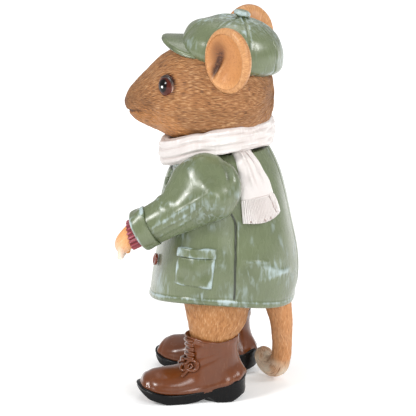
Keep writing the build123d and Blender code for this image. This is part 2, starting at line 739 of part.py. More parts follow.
def make_sole():
    """Sole with toe spring, a waist and a stepped heel: its side view crossed with its plan."""
    right = [(sole_half_width * half, along_sole(share)) for share, half in sole_plan_shares]
    left = [(-across, along) for across, along in right]
    plan = make_face(Spline(right) + Spline(left))
    top = sole_top_line()
    tread = [(along_sole(share), sole_tread_height * up) for share, up in sole_tread_shares]
    side = make_face(Spline(top) + Line(top[-1], tread[0]) + Polyline(tread) + Line(tread[-1], top[0]))
    block = extrude(plan, amount=2 * sole_tread_height, both=True)
    return block & extrude(Plane.YZ * side, amount=2 * sole_half_width, both=True)


def below_sole_top():
    """Everything below a line that runs just above the top of the sole."""
    line = [(along, level + seat_gap) for along, level in sole_top_line()]
    heel, toe = (line[0][0] + overrun, line[0][1]), (line[-1][0] - overrun, line[-1][1])
    foot = [toe, (toe[0], -overrun), (heel[0], -overrun), heel, line[0]]
    side = make_face(Spline(line) + Polyline(line[-1], *foot))
    return extrude(Plane.YZ * side, amount=2 * sole_half_width, both=True)


def make_boot_upper():
    """Boot upper: a bulbous foot and a flared shaft whose rim dips at the ankles."""
    sections = []
    for share, half, top in boot_foot_shares:
        plane = placed((0, along_sole(share), boot_mid_z), (0, -1, 0))
        half_width = sole_half_width * half - welt_inset
        sections.append(plane * oval(half_width, boot_toe_height * top - boot_mid_z, boot_mid_z - boot_foot_z))
    foot = loft(sections + [Vertex(0, along_sole(boot_toe_end_share), boot_mid_z)])
    rings = []
    for height, front, back, half in shaft_shares:
        ahead, behind = shaft_front * front, shaft_back * back
        ring = oval(shaft_half_width * half, (ahead + behind) / 2)
        rings.append(Pos(0, (behind - ahead) / 2, shaft_height * height) * ring)
    rim = Pos(0, 0, rim_low_z + rim_radius) * Rot(0, 90, 0) * Cylinder(rim_radius, 2 * overrun)
    return boot_frame() * (foot + (loft(rings) - rim) - below_sole_top()) - make_leg(seat_gap)


def make_cord(length):
    """Straight six-sided cord along its own Z, with its middle at the origin."""
    return extrude(RegularPolygon(lace_radius, lace_sides), amount=length / 2, both=True)


def make_laces():
    """Laces zigzagging up the front of the shaft, and a bow with two loops and two loose ends."""
    front = -shaft_front - lace_stand_off
    knot = Pos(0, front, bow_z)
    height = lace_foot_z + lace_pitch * (lace_rows - 1) - bow_z
    laces = knot * Sphere(2 * lace_radius) + knot * Pos(0, 0, height / 2) * Cylinder(tongue_ridge_radius, height)
    loop = revolve(Plane.XZ * Pos(bow_loop_radius, 0) * RegularPolygon(lace_radius, lace_sides), Axis.Z)
    for row in range(lace_rows):
        crossing = Pos(0, front, lace_foot_z + lace_pitch * row) * Rot(0, lace_slant * (-1) ** row, 0)
        for side in (-1, 1):
            lace = Pos(side * lace_reach / 2, 0, 0) * Rot(0, 90, 0) * make_cord(lace_reach)
            laces += crossing * Rot(0, 0, side * lace_bend) * lace
    bow = knot * Rot(-bow_lean, 0, 0)
    for side in (-1, 1):
        laces += bow * Rot(0, side * bow_loop_turn, 0) * Pos(side * bow_loop_radius, 0, 0) * Rot(90, 0, 0) * loop
        loose = Rot(0, -side * bow_end_turn, 0) * Pos(0, 0, -bow_end_length / 2)
        laces += bow * loose * make_cord(bow_end_length)
    return boot_frame() * laces


def tail_rings(growth=0):
    """Rings along the tail, their frames carried along its path without twist."""
    points = [Vector(tail_sway * x, tail_back_y * y, tail_height * z) for x, y, z, _ in tail_shares]
    ends = [points[0]] + points + [points[-1]]
    across = Vector(1, 0, 0)
    rings = []
    for index, row in enumerate(tail_shares):
        along = (ends[index + 2] - ends[index]).normalized()
        across = (across - along * across.dot(along)).normalized()
        radius = tail_radius * row[3] + growth
        rings.append(Plane(origin=points[index], x_dir=across, z_dir=along) * oval(radius, radius))
    tip = points[-1] + along * tail_radius * tail_shares[-1][3]
    return rings, Vertex(tip.X, tip.Y, tip.Z)


def tail_root(growth):
    """Upper end of the tail, grown by the clearance, with a cap above it."""
    rings, _ = tail_rings(growth)
    return loft(rings[:tail_bend_row]) + extrude(rings[0], amount=-growth)


def make_tail():
    """Tapering tail, down from the coat and round along the floor to the right heel."""
    rings, tip = tail_rings()
    return loft(rings[:tail_bend_row + 1]) + loft(rings[tail_bend_row:]) + loft([rings[-1], tip])


def build():
    """Make every piece, cut to sit in or on the piece that carries it, and return them by name."""
    pieces = {
        "head": make_head(),
        "cap_crown": make_cap_crown(),
        "cap_peak": make_cap_peak(),
        "cap_button": make_cap_button(),
        "scarf_wrap": make_scarf_wrap(),
        "scarf_end_back": make_scarf_back_end(),
        "scarf_end_front": make_scarf_front_end(),
        "coat_body": make_coat(),
        "coat_collar": make_collar(),
        "coat_buttons": make_coat_buttons(),
        "tail": make_tail(),
    }
    paired = {
        "eye": make_eye(),
        "ear": make_ear(),
        "lapel": make_lapel(),
        "pocket": coat_patch(pocket_block(flap_height + seat_gap, pocket_height), pocket_thickness),
        "pocket_flap": coat_patch(pocket_block(0, flap_height, flap_overhang), flap_thickness),
        "leg": make_leg(),
        "boot": make_boot_upper(),
        "sole": boot_frame() * make_sole(),
        "laces": make_laces(),
    }
    for name, piece in paired.items():
        pieces[f"left_{name}"] = piece
        pieces[f"right_{name}"] = mirrored(piece)
    for side, elbow, wrist, droop, roll in (
        ("left", left_elbow, left_wrist, left_paw_droop, left_paw_roll),
        ("right", right_elbow, right_wrist, right_paw_droop, right_paw_roll),
    ):
        pieces[f"{side}_sleeve"] = make_sleeve(elbow, wrist)
        pieces[f"{side}_sleeve_cuff"] = make_cuff(elbow, wrist)
        pieces[f"{side}_knit_cuff"] = make_knit(elbow, wrist)
        pieces[f"{side}_paw"] = make_paw(elbow, wrist, droop, roll)
    return pieces


def main():
    """Stand the finished ornament over the middle of its footprint and write each piece to its own file."""
    pieces = build()
    whole = Compound([solid for piece in pieces.values() for solid in piece.solids()]).bounding_box()
    stand = Pos(-whole.center().X, -whole.center().Y, -whole.min.Z)
    os.makedirs("parts", exist_ok=True)
    for name, piece in pieces.items():
        export_step(stand * piece, f"parts/{name}.step")


main()
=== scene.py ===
"""Painted cast mouse ornament in cap, scarf, coat and boots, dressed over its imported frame.

Lengths are millimetres in the figure's own frame: +Z up, the mouse faces -Y, its left side is +X and
the middle of the head lies on X = 0. A finished mesh is moved onto the frame and scaled to metres as
it is written. Every shape is a skin: a grid of points worked out as whole arrays from two parameters.
"""
import logging
from dataclasses import dataclass
from enum import Enum
from typing import Callable, NamedTuple

import bpy
import numpy as np
from mathutils import Matrix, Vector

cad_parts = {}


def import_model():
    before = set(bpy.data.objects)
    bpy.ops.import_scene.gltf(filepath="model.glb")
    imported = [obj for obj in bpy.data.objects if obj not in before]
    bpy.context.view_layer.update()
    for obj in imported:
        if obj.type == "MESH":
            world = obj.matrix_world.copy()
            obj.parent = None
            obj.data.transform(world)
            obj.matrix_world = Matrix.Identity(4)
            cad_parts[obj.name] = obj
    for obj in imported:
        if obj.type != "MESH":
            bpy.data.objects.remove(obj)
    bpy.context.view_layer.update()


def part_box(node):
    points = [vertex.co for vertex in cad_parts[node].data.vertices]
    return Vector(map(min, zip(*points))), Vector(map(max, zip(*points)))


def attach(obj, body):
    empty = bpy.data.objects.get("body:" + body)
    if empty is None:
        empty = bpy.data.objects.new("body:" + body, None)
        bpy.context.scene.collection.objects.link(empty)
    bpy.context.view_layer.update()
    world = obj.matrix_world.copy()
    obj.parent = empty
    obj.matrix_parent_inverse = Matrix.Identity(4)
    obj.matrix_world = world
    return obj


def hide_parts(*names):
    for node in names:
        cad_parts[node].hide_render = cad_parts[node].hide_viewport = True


Array = np.ndarray
Field = Callable[[Array], Array]

log = logging.getLogger("mouse")
METRE = 0.001
TURN = 2 * np.pi
POLE = 0.02  # how near the rows of a polar grid come to its pole
CAST_STEPS = 24
RIPPLE_WAVES = 14
RIPPLE_GAIN = 1.6
SLAB_SINK = 0.25
BODY = "root"


# Maths for shapes


def unit(vectors: Array) -> Array:
    """The same directions with a length of one."""
    return vectors / np.maximum(np.linalg.norm(vectors, axis=-1, keepdims=True), 1e-9)


def ease(low: float, high: float, value: Array) -> Array:
    """Smooth step: 0 below low, 1 above high, a cubic between."""
    share = np.clip((value - low) / (high - low), 0, 1)
    return share * share * (3 - 2 * share)


def hump(distance: Array, width: float) -> Array:
    """Bell of height 1: e to the minus square of distance over width."""
    return np.exp(-(distance / width) ** 2)


def between(rise: tuple[float, float], fall: tuple[float, float], value: Array) -> Array:
    """Smooth window: up over the first span of the value and down again over the second."""
    return ease(*rise, value) * (1 - ease(*fall, value))


def dab(across: Array, up: Array, middle: tuple[float, float], sizes: tuple[float, float]) -> Array:
    """Oval bell of height 1 round a middle, with its own width and height."""
    return hump(np.hypot((across - middle[0]) / sizes[0], (up - middle[1]) / sizes[1]), 1)


def bells(value: Array, rows: tuple) -> Array:
    """Sum of bells along a value; each row holds a height, a place and a width."""
    return sum(height * hump(value - place, width) for height, place, width in rows)


def angles(count: int, start: float = 0.0) -> Array:
    """One full turn in even steps, as a row."""
    return np.linspace(start, start + TURN, count, endpoint=False)[None]


def stacked(*parts: Array | float) -> Array:
    """Coordinates as one array, each first spread over the shape that they share."""
    return np.stack(np.broadcast_arrays(*parts), -1)


def ball_grid(rows: int, columns: int, pole: float = POLE) -> Array:
    """Unit directions over a ball, in rows from its pole along the third axis."""
    polar = np.linspace(pole, np.pi - pole, rows)[:, None]
    angle = angles(columns)
    return stacked(np.sin(polar) * np.cos(angle), np.sin(polar) * np.sin(angle), np.cos(polar))


def on_axes(local: Array, axes: tuple[Array, Array, Array]) -> Array:
    """Local coordinates carried onto three directions."""
    return sum(local[..., k:k + 1] * axis for k, axis in enumerate(axes))


def there_and_back(columns: int) -> tuple[Array, Array]:
    """For the columns of a slab, over its front and back again: the share of the way across, and the front."""
    share = np.concatenate([np.linspace(0, 1, columns), np.linspace(1, 0, columns)])
    return share[None], (np.arange(2 * columns) < columns)[None]


class Fold(NamedTuple):
    """A crease that runs along one coordinate and lies at a level of another.

    The level is the one at the pivot, and falls by the slope. The crease starts over the rise span and
    stops over the fall span. Height is how far it stands out, and mark is how strong its paint is.
    """

    level: float
    slope: float
    pivot: float
    width: float
    rise: tuple[float, float]
    fall: tuple[float, float]
    height: float
    mark: float

    def bell(self, along: Array, level: Array) -> Array:
        """The crease with a height of 1, at places given by both coordinates."""
        return hump(level - self.level + self.slope * (along - self.pivot), self.width) * between(
            self.rise, self.fall, along)


def curve_through(knots: Array, values: Array, at: Array) -> Array:
    """Smooth curve through values at knots.

    Formula: a cubic Hermite piece between neighbours, with slopes averaged from both sides.

    Args:
        knots: rising parameters.
        values: one value or point for each knot.
        at: parameters wanted, of any shape.

    Returns:
        The values at those parameters.
    """
    knots, values = np.asarray(knots, float), np.asarray(values, float)
    flat = values.reshape(len(knots), -1)
    gaps = np.diff(knots)[:, None]
    rise = np.diff(flat, axis=0) / gaps
    slopes = np.empty_like(flat)
    slopes[0], slopes[-1] = rise[0], rise[-1]
    slopes[1:-1] = (rise[:-1] * gaps[1:] + rise[1:] * gaps[:-1]) / (gaps[:-1] + gaps[1:])
    wanted = np.asarray(at, float)
    place = np.clip(np.searchsorted(knots, wanted.ravel(), side="right") - 1, 0, len(knots) - 2)
    gap = gaps[place]
    t = np.clip((wanted.ravel()[:, None] - knots[place][:, None]) / gap, 0, 1)
    result = ((1 + 2 * t) * (1 - t) ** 2 * flat[place] + t * (1 - t) ** 2 * gap * slopes[place]
              + t * t * (3 - 2 * t) * flat[place + 1] - t * t * (1 - t) * gap * slopes[place + 1])
    return result.reshape(wanted.shape + values.shape[1:])


def through(table: tuple, at: Array) -> Array:
    """Smooth curve through the rows of a table, whose first column holds the knots."""
    rows = np.array(table)
    return curve_through(rows[:, 0], rows[:, 1:], at)


def lattice(along: Array, around: Array | float, cells: tuple[int, int], seed: int) -> Array:
    """Smooth noise from -1 to 1 that repeats both ways.

    Formula: random heights on a lattice of cells, blended across each cell by a cubic step.
    """
    heights = np.random.default_rng(seed).uniform(-1, 1, cells)
    x, y = along * cells[0], around * cells[1]
    i, j = np.floor(x).astype(int), np.floor(y).astype(int)
    fx, fy = ease(0, 1, x - i), ease(0, 1, y - j)
    i0, j0, i1, j1 = i % cells[0], j % cells[1], (i + 1) % cells[0], (j + 1) % cells[1]
    low = heights[i0, j0] * (1 - fx) + heights[i1, j0] * fx
    high = heights[i0, j1] * (1 - fx) + heights[i1, j1] * fx
    return low * (1 - fy) + high * fy


def ripple(points: Array, wavelength: float, seed: int) -> Array:
    """Smooth noise in space, about -1 to 1: plane waves of one length in random directions, averaged."""
    rng = np.random.default_rng(seed)
    directions = unit(rng.normal(size=(RIPPLE_WAVES, 3)))
    phases = rng.uniform(0, TURN, RIPPLE_WAVES)
    waves = np.sin(points @ directions.T * TURN / wavelength + phases)
    return waves.sum(-1) * RIPPLE_GAIN / RIPPLE_WAVES ** 0.5


def superellipse(angle: Array, squareness: float = 2.0) -> tuple[Array, Array]:
    """Across and up on a unit oval: cosine and sine raised to 2 over the squareness, signs kept."""
    c, s = np.cos(angle), np.sin(angle)
    power = 2 / squareness
    return np.sign(c) * np.abs(c) ** power, np.sign(s) * np.abs(s) ** power


def carried_frames(path: Array, across: tuple[float, float, float]) -> tuple[Array, Array, Array]:
    """Directions along, across and up at each point of a path, carried along it without twist."""
    along = unit(np.gradient(path, axis=0))
    sides = np.empty_like(path)
    side = np.asarray(across, float)
    for row, tangent in enumerate(along):
        side = side - tangent * (side @ tangent)
        side = side / np.linalg.norm(side)
        sides[row] = side
    return along, sides, np.cross(along, sides)


def turned(axis: str, degrees: float) -> Array:
    """Rotation matrix about one axis, for points multiplied from the left: matrix @ point."""
    return np.array(Matrix.Rotation(np.radians(degrees), 3, axis))


def facing_axes(facing: Array) -> tuple[Array, Array, Array]:
    """Across, upward and outward directions of a plane that faces a direction and stays upright."""
    out = unit(np.asarray(facing, float))
    across = unit(np.cross((0.0, 0.0, 1.0), out))
    return across, np.cross(out, across), out


def turned_ahead(degrees: float) -> Array:
    """Level direction that looks to the left, turned to the front by an angle."""
    turn = np.radians(degrees)
    return np.array((np.cos(turn), -np.sin(turn), 0.0))


def ball_field(points: Array, centre: Array, radii: Array, axes: Array | None = None) -> Array:
    """Distance-like field of an ellipsoid, negative inside: its scaled radius less one, times its least radius."""
    offset = points - np.asarray(centre, float)
    if axes is not None:
        offset = offset @ axes.T
    radii = np.asarray(radii, float)
    return (np.linalg.norm(offset / radii, axis=-1) - 1) * radii.min()


def melt(first: Array, second: Array, width: float) -> Array:
    """Smooth union of two fields: the lesser of them, rounded where they meet over the given width."""
    share = np.clip(0.5 + 0.5 * (second - first) / width, 0, 1)
    return second * (1 - share) + first * share - width * share * (1 - share)


def cast(origins: Array, directions: Array, form: Field, reach: float) -> Array:
    """Points where rays from inside a form meet its surface, found by halving the reach again and again."""
    near = np.zeros(directions.shape[:-1])
    far = np.full(directions.shape[:-1], float(reach))
    for _ in range(CAST_STEPS):
        middle = (near + far) / 2
        inside = form(origins + directions * middle[..., None]) < 0
        near, far = np.where(inside, middle, near), np.where(inside, far, middle)
    return origins + directions * near[..., None]


# Skins and how they become meshes


@dataclass
class Skin:
    """A closed surface on a grid: rows run along it, columns close round it, and its ends are fans.

    relief is -1 in grooves and 1 on ridges, for washes and dry brushing. tone blends two paints.
    """

    points: Array
    ring: bool = False
    relief: Array | None = None
    tone: Array | None = None

    def __post_init__(self) -> None:
        """Start with no relief and no tone, and find which way the faces look."""
        if self.relief is None:
            self.relief = np.zeros(self.points.shape[:2])
        if self.tone is None:
            self.tone = np.zeros(self.points.shape[:2])
        self.sign = 1.0
        along, round_it = self.edges()
        centred = self.points - self.points.mean((0, 1))
        self.sign = 1.0 if np.sum(centred * np.cross(along, round_it)) > 0 else -1.0

    def edges(self) -> tuple[Array, Array]:
        """Differences between neighbours along the rows and round the columns."""
        if self.ring:
            along = np.roll(self.points, -1, 0) - np.roll(self.points, 1, 0)
        else:
            along = np.gradient(self.points, axis=0)
        return along, np.roll(self.points, -1, 1) - np.roll(self.points, 1, 1)

    def outward(self) -> Array:
        """Unit normals, from the cross product of both differences."""
        along, round_it = self.edges()
        return unit(np.cross(along, round_it)) * self.sign

    def raised(self, height: Array, mark: float = 0.0) -> None:
        """Move each point out by a height, and add the height times mark to the relief."""
        self.points = self.points + self.outward() * height[..., None]
        self.relief = self.relief + height * mark

    def with_tips(self, values: Array) -> Array:
        """Values of the grid as a list; where the ends are fans, the means of both end rows come last."""
        flat = values.reshape(-1, *values.shape[2:])
        return flat if self.ring else np.concatenate([flat, values[[0, -1]].mean(1)])

    def mirrored(self) -> "Skin":
        """The same skin on the other side of the figure."""
        return Skin(self.points * (-1, 1, 1), self.ring, self.relief.copy(), self.tone.copy())


def slab(front: Array, inward: Array, thickness: float, rows_round: bool = True) -> Skin:
    """Thin plate on a grid of base points, domed and rounded at its edges.

    Formula: the face stands off the base by the thickness times the square root of one less a high
    power of the distance from the middle, so it drops to the base only near its edges.

    Args:
        front: base points, rows by columns.
        inward: unit directions from the face into what carries it.
        thickness: of the plate at its middle.
        rows_round: whether the first and last rows are rounded too.

    Returns:
        A skin whose ring of columns runs over the face and back along the base.
    """
    rows, columns = front.shape[:2]
    across = np.abs(np.linspace(-1, 1, columns))[None, :] ** 6
    along = np.abs(np.linspace(-1, 1, rows))[:, None] ** 8 * (1.0 if rows_round else 0.0)
    stand = thickness * (1 - np.maximum(across, along)) ** 0.5
    face = front - inward * stand[..., None]
    back = (front + inward * SLAB_SINK)[:, ::-1]
    worn = np.clip(1.15 * np.maximum(across, along) ** 0.55 - 0.18, -0.15, 0.8)
    relief = np.concatenate([worn, np.zeros((rows, columns))], 1)
    return Skin(np.concatenate([face, back], 1), relief=relief)


def tube(path: Array, radii: Array, across: tuple[float, float, float], columns: int) -> Skin:
    """Round tube along a path, its frames carried without twist: centre plus radius times the turning direction."""
    _, side, up = carried_frames(path, across)
    angle = angles(columns)[..., None]
    radius = np.asarray(radii, float).reshape(-1, 1, 1)
    return Skin(path[:, None] + radius * (np.cos(angle) * side[:, None] + np.sin(angle) * up[:, None]))


def rounded_ends(path: Array, radius: float, steps: int = 6) -> tuple[Array, Array]:
    """A path with half balls at both ends: extra points whose radii follow a quarter circle."""
    turn = np.linspace(0.12, np.pi / 2, steps)[:-1]
    start, end = unit(path[0] - path[1]), unit(path[-1] - path[-2])
    head = path[0] + start * (radius * np.cos(turn))[:, None]
    foot = path[-1] + end * (radius * np.cos(turn[::-1]))[:, None]
    radii = np.concatenate([np.sin(turn), np.ones(len(path)), np.sin(turn[::-1])]) * radius
    return np.concatenate([head, path, foot]), radii


def grid_faces(skin: Skin, first: int) -> tuple[Array, Array, Array, Array]:
    """Faces of one skin as vertex numbers, with their places on the flow map.

    Args:
        skin: the surface.
        first: number of its first vertex in the mesh.

    Returns:
        Quads, triangles of the end fans, and the flow map of both, in millimetres.
    """
    rows, columns = skin.points.shape[:2]
    along, round_it = skin.edges()
    length = np.linalg.norm(along, axis=-1).mean(1).sum() * (0.5 if skin.ring else 1.0)
    girth = np.linalg.norm(round_it, axis=-1).sum(1).max() / 2
    i, j = np.meshgrid(np.arange(rows if skin.ring else rows - 1), np.arange(columns), indexing="ij")
    i, j = i.ravel(), j.ravel()
    corner_i = np.stack([i, i + 1, i + 1, i], 1)
    corner_j = np.stack([j, j, j + 1, j + 1], 1)
    quads = first + (corner_i % rows) * columns + corner_j % columns
    flow = stacked(corner_j / columns * girth, corner_i / rows * length)
    if skin.sign < 0:
        quads, flow = quads[:, ::-1], flow[:, ::-1]
    if skin.ring:
        return quads, np.zeros((0, 3), int), flow, np.zeros((0, 3, 2))
    j = np.arange(columns)
    ahead = (j + 1) % columns
    tip = first + rows * columns
    last = first + (rows - 1) * columns
    fans = np.concatenate([np.stack([first + j, first + ahead, np.full(columns, tip)], 1),
                           np.stack([last + ahead, last + j, np.full(columns, tip + 1)], 1)])
    places = np.zeros((2 * columns, 3, 2))
    places[:, :, 0] = (np.tile(j, 2) / columns * girth)[:, None]
    places[columns:, :, 1] = length
    if skin.sign < 0:
        fans, places = fans[:, ::-1], places[:, ::-1]
    return quads, fans, flow, places


@dataclass(frozen=True)
class Stand:
    """Where the figure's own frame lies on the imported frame, in millimetres."""

    x: float
    y: float
    z: float

    def placed(self, points: Array) -> Array:
        """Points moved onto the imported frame, in metres."""
        return (points + (self.x, self.y, self.z)) * METRE


@dataclass
class Workshop:
    """Writes skins to Blender and joins each piece to the frame."""

    stand: Stand

    def piece(self, name: str, skins: list[Skin], finish: "Finish | EyeFinish", *nodes: str) -> None:
        """Cast one piece from its skins, at the origin with its place in its mesh.

        Args:
            name: of the object.
            skins: surfaces that make up the piece.
            finish: paint of the whole piece.
            nodes: frame nodes that the piece stands for.
        """
        parts, vertices, relief, tone = [], [], [], []
        count = 0
        for skin in skins:
            parts.append(grid_faces(skin, count))
            vertices.append(skin.with_tips(skin.points))
            relief.append(skin.with_tips(skin.relief))
            tone.append(skin.with_tips(skin.tone))
            count += len(vertices[-1])
        quads, fans, flows, places = (np.concatenate(group) for group in zip(*parts))
        mesh = bpy.data.meshes.new(name)
        mesh.vertices.add(count)
        mesh.vertices.foreach_set("co", self.stand.placed(np.concatenate(vertices)).astype(np.float32).ravel())
        corners = np.concatenate([quads.ravel(), fans.ravel()])
        starts = np.concatenate([np.arange(len(quads)) * 4, len(quads) * 4 + np.arange(len(fans)) * 3])
        mesh.loops.add(len(corners))
        mesh.loops.foreach_set("vertex_index", corners.astype(np.int32))
        mesh.polygons.add(len(starts))
        mesh.polygons.foreach_set("loop_start", starts.astype(np.int32))
        mesh.polygons.foreach_set("use_smooth", np.ones(len(starts), bool))
        mesh.update(calc_edges=True)
        flow_map = mesh.uv_layers.new(name="flow")
        flow = np.concatenate([flows.reshape(-1, 2), places.reshape(-1, 2)])
        flow_map.data.foreach_set("uv", flow.astype(np.float32).ravel())
        for title, values in (("relief", relief), ("tone", tone)):
            layer = mesh.attributes.new(title, "FLOAT", "POINT")
            layer.data.foreach_set("value", np.concatenate(values).astype(np.float32))
        mesh.validate()
        mesh.materials.append(material(finish.name, finish.shader))
        piece = bpy.data.objects.new(name, mesh)
        bpy.context.scene.collection.objects.link(piece)
        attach(piece, BODY)
        if nodes:
            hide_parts(*nodes)
        log.info("%s: %d faces for %s", name, len(starts), ", ".join(nodes) or "no node")


# Paint


class Pattern(Enum):
    """What the surface of a finish carries."""

    FUR = "fur"
    CLOTH = "cloth"


Colour = tuple[float, float, float]
FINE_SHARE = 0.64  # of fine strokes in the fur, the rest being coarse


def tint(code: str) -> Colour:
    """Linear colour from a six-digit code."""
    channels = np.array([int(code[i:i + 2], 16) for i in (0, 2, 4)]) / 255
    linear = np.where(channels <= 0.04045, channels / 12.92, ((channels + 0.055) / 1.055) ** 2.4)
    return tuple(float(v) for v in linear)


class Tree:
    """Short ways to add and join shader nodes in one tree."""

    def __init__(self, tree: bpy.types.NodeTree) -> None:
        """Keep the tree."""
        self.tree = tree

    def put(self, socket: bpy.types.NodeSocket, value: object) -> None:
        """Join a socket to another one, or set its value."""
        if isinstance(value, bpy.types.NodeSocket):
            self.tree.links.new(value, socket)
        elif isinstance(value, tuple) and len(value) == 3 and socket.type == "RGBA":
            socket.default_value = (*value, 1.0)
        else:
            socket.default_value = value

    def node(self, kind: str, settings: dict | None = None, **sockets: object) -> bpy.types.Node:
        """Add a node, with its settings and the values or links of its named sockets."""
        made = self.tree.nodes.new(kind)
        for name, value in (settings or {}).items():
            setattr(made, name, value)
        for name, value in sockets.items():
            self.put(made.inputs[name.replace("_", " ")], value)
        return made

    def math(self, operation: str, first: object, second: object = 0.0, clamp: bool = False) -> bpy.types.NodeSocket:
        """Result of one Math node."""
        made = self.tree.nodes.new("ShaderNodeMath")
        made.operation, made.use_clamp = operation, clamp
        self.put(made.inputs[0], first)
        self.put(made.inputs[1], second)
        return made.outputs[0]

    def plus(self, first: object, second: object, clamp: bool = False) -> bpy.types.NodeSocket:
        """Sum of two values."""
        return self.math("ADD", first, second, clamp)

    def times(self, first: object, second: object) -> bpy.types.NodeSocket:
        """Product of two values."""
        return self.math("MULTIPLY", first, second)

    def mix(self, share: object, first: object, second: object) -> bpy.types.NodeSocket:
        """Colour between two colours."""
        made = self.tree.nodes.new("ShaderNodeMix")
        made.data_type = "RGBA"
        self.put(made.inputs[0], share)
        self.put(made.inputs[6], first)
        self.put(made.inputs[7], second)
        return made.outputs[2]

    def span(self, value: object, low: float, high: float, to_low: float = 0.0,
             to_high: float = 1.0) -> bpy.types.NodeSocket:
        """Value carried smoothly from one range to another, held at its ends."""
        made = self.tree.nodes.new("ShaderNodeMapRange")
        made.interpolation_type = "SMOOTHSTEP"
        for name, number in (("Value", value), ("From Min", low), ("From Max", high), ("To Min", to_low),
                             ("To Max", to_high)):
            self.put(made.inputs[name], number)
        return made.outputs[0]

    def noise(self, vector: object, scale: float, detail: float = 2.0, distortion: float = 0.0) -> bpy.types.NodeSocket:
        """Value of a noise texture."""
        return self.node("ShaderNodeTexNoise", Vector=vector, Scale=scale, Detail=detail,
                         Distortion=distortion).outputs["Fac"]

    def vector(self, operation: str, first: object, second: object = (0.0, 0.0, 0.0)) -> bpy.types.Node:
        """One Vector Math node."""
        made = self.tree.nodes.new("ShaderNodeVectorMath")
        made.operation = operation
        self.put(made.inputs[0], first)
        self.put(made.inputs[1], second)
        return made

    def stretched(self, vector: object, scale: object) -> bpy.types.NodeSocket:
        """A vector times a scale for each axis."""
        return self.vector("MULTIPLY", vector, scale).outputs[0]

    def attribute(self, name: str) -> bpy.types.NodeSocket:
        """Value of a mesh attribute."""
        return self.node("ShaderNodeAttribute", {"attribute_name": name}).outputs["Fac"]

    def place(self) -> bpy.types.NodeSocket:
        """Place on the object, in metres."""
        return self.node("ShaderNodeTexCoord").outputs["Object"]


def material(name: str, paint: Callable[[Tree], bpy.types.Node]) -> bpy.types.Material:
    """The material of a name, made once, from the shader that a function builds in its empty tree."""
    kept = bpy.data.materials.get(name)
    if kept is not None:
        return kept
    made = bpy.data.materials.new(name)
    made.use_nodes = True
    tree = Tree(made.node_tree)
    made.node_tree.nodes.clear()
    shader = paint(tree)
    made.node_tree.links.new(shader.outputs[0], tree.node("ShaderNodeOutputMaterial").inputs[0])
    return made


def start_group(name: str, inputs: dict[str, object], outputs: dict[str, str]) -> tuple[Tree, dict, dict]:
    """Open a shader group with named sockets.

    Args:
        name: of the group.
        inputs: default of each input; a tuple of three is a colour, "vector" is a vector.
        outputs: socket type of each output.

    Returns:
        The tree, its input sockets and its output sockets, by name.
    """
    group = bpy.data.node_groups.new(name, "ShaderNodeTree")
    for label, default in inputs.items():
        kind = {float: "NodeSocketFloat", tuple: "NodeSocketColor", str: "NodeSocketVector"}[type(default)]
        made = group.interface.new_socket(label, in_out="INPUT", socket_type=kind)
        if isinstance(default, tuple):
            made.default_value = (*default, 1.0)
        elif isinstance(default, float):
            made.default_value = default
    for label, kind in outputs.items():
        group.interface.new_socket(label, in_out="OUTPUT", socket_type=kind)
    entry, leave = group.nodes.new("NodeGroupInput"), group.nodes.new("NodeGroupOutput")
    return Tree(group), {s.name: s for s in entry.outputs}, {s.name: s for s in leave.inputs}


def fur_group() -> bpy.types.NodeTree:
    """Sculpted fur: short strokes along the flow map, dark between them and pale on top."""
    tree, given, made = start_group(
        "Sculpted_Fur",
        {"Flow": "vector", "Place": "vector", "Relief": 0.0, "Tone": 0.0, "Shade": (0.1, 0.05, 0.02),
         "Coat": (0.3, 0.2, 0.1), "Second": (0.5, 0.25, 0.1), "Tip": (0.7, 0.5, 0.3), "Stroke": 1.0, "Fleck": 0.0},
        {"Colour": "NodeSocketColor", "Height": "NodeSocketFloat", "Roughness": "NodeSocketFloat"})
    bend = tree.noise(given["Flow"], 0.10, 1.0)
    sway = tree.node("ShaderNodeCombineXYZ", X=tree.times(bend, 2.6)).outputs[0]
    flow = tree.vector("ADD", given["Flow"], sway).outputs[0]
    fine = tree.noise(tree.stretched(flow, (2.7, 0.42, 1.0)), 1.0, 2.0)
    coarse = tree.noise(tree.stretched(flow, (1.5, 0.30, 1.0)), 1.0, 1.0)
    height = tree.plus(tree.times(tree.span(fine, 0.32, 0.68), FINE_SHARE),
                       tree.times(tree.span(coarse, 0.34, 0.66), 1 - FINE_SHARE))
    height = tree.plus(tree.times(tree.plus(height, -0.5), given["Stroke"]), 0.5)
    lifted = tree.plus(height, tree.times(given["Relief"], 0.35))
    patches = tree.noise(given["Place"], 75.0, 2.0)
    tone = tree.plus(given["Tone"], tree.times(tree.plus(patches, -0.5), 0.45), True)
    paint = tree.mix(tone, given["Coat"], given["Second"])
    dots = tree.span(tree.noise(given["Place"], 1000.0, 1.0), 0.54, 0.62)
    paint = tree.mix(tree.times(dots, given["Fleck"]), paint, given["Shade"])
    dark = tree.mix(tree.span(lifted, -0.04, 0.44), given["Shade"], paint)
    tree.put(made["Colour"], tree.mix(tree.span(lifted, 0.50, 1.00, 0.0, 0.62), dark, given["Tip"]))
    tree.put(made["Height"], height)
    tree.put(made["Roughness"], tree.span(lifted, 0.1, 0.9, 0.62, 0.44))
    return tree.tree


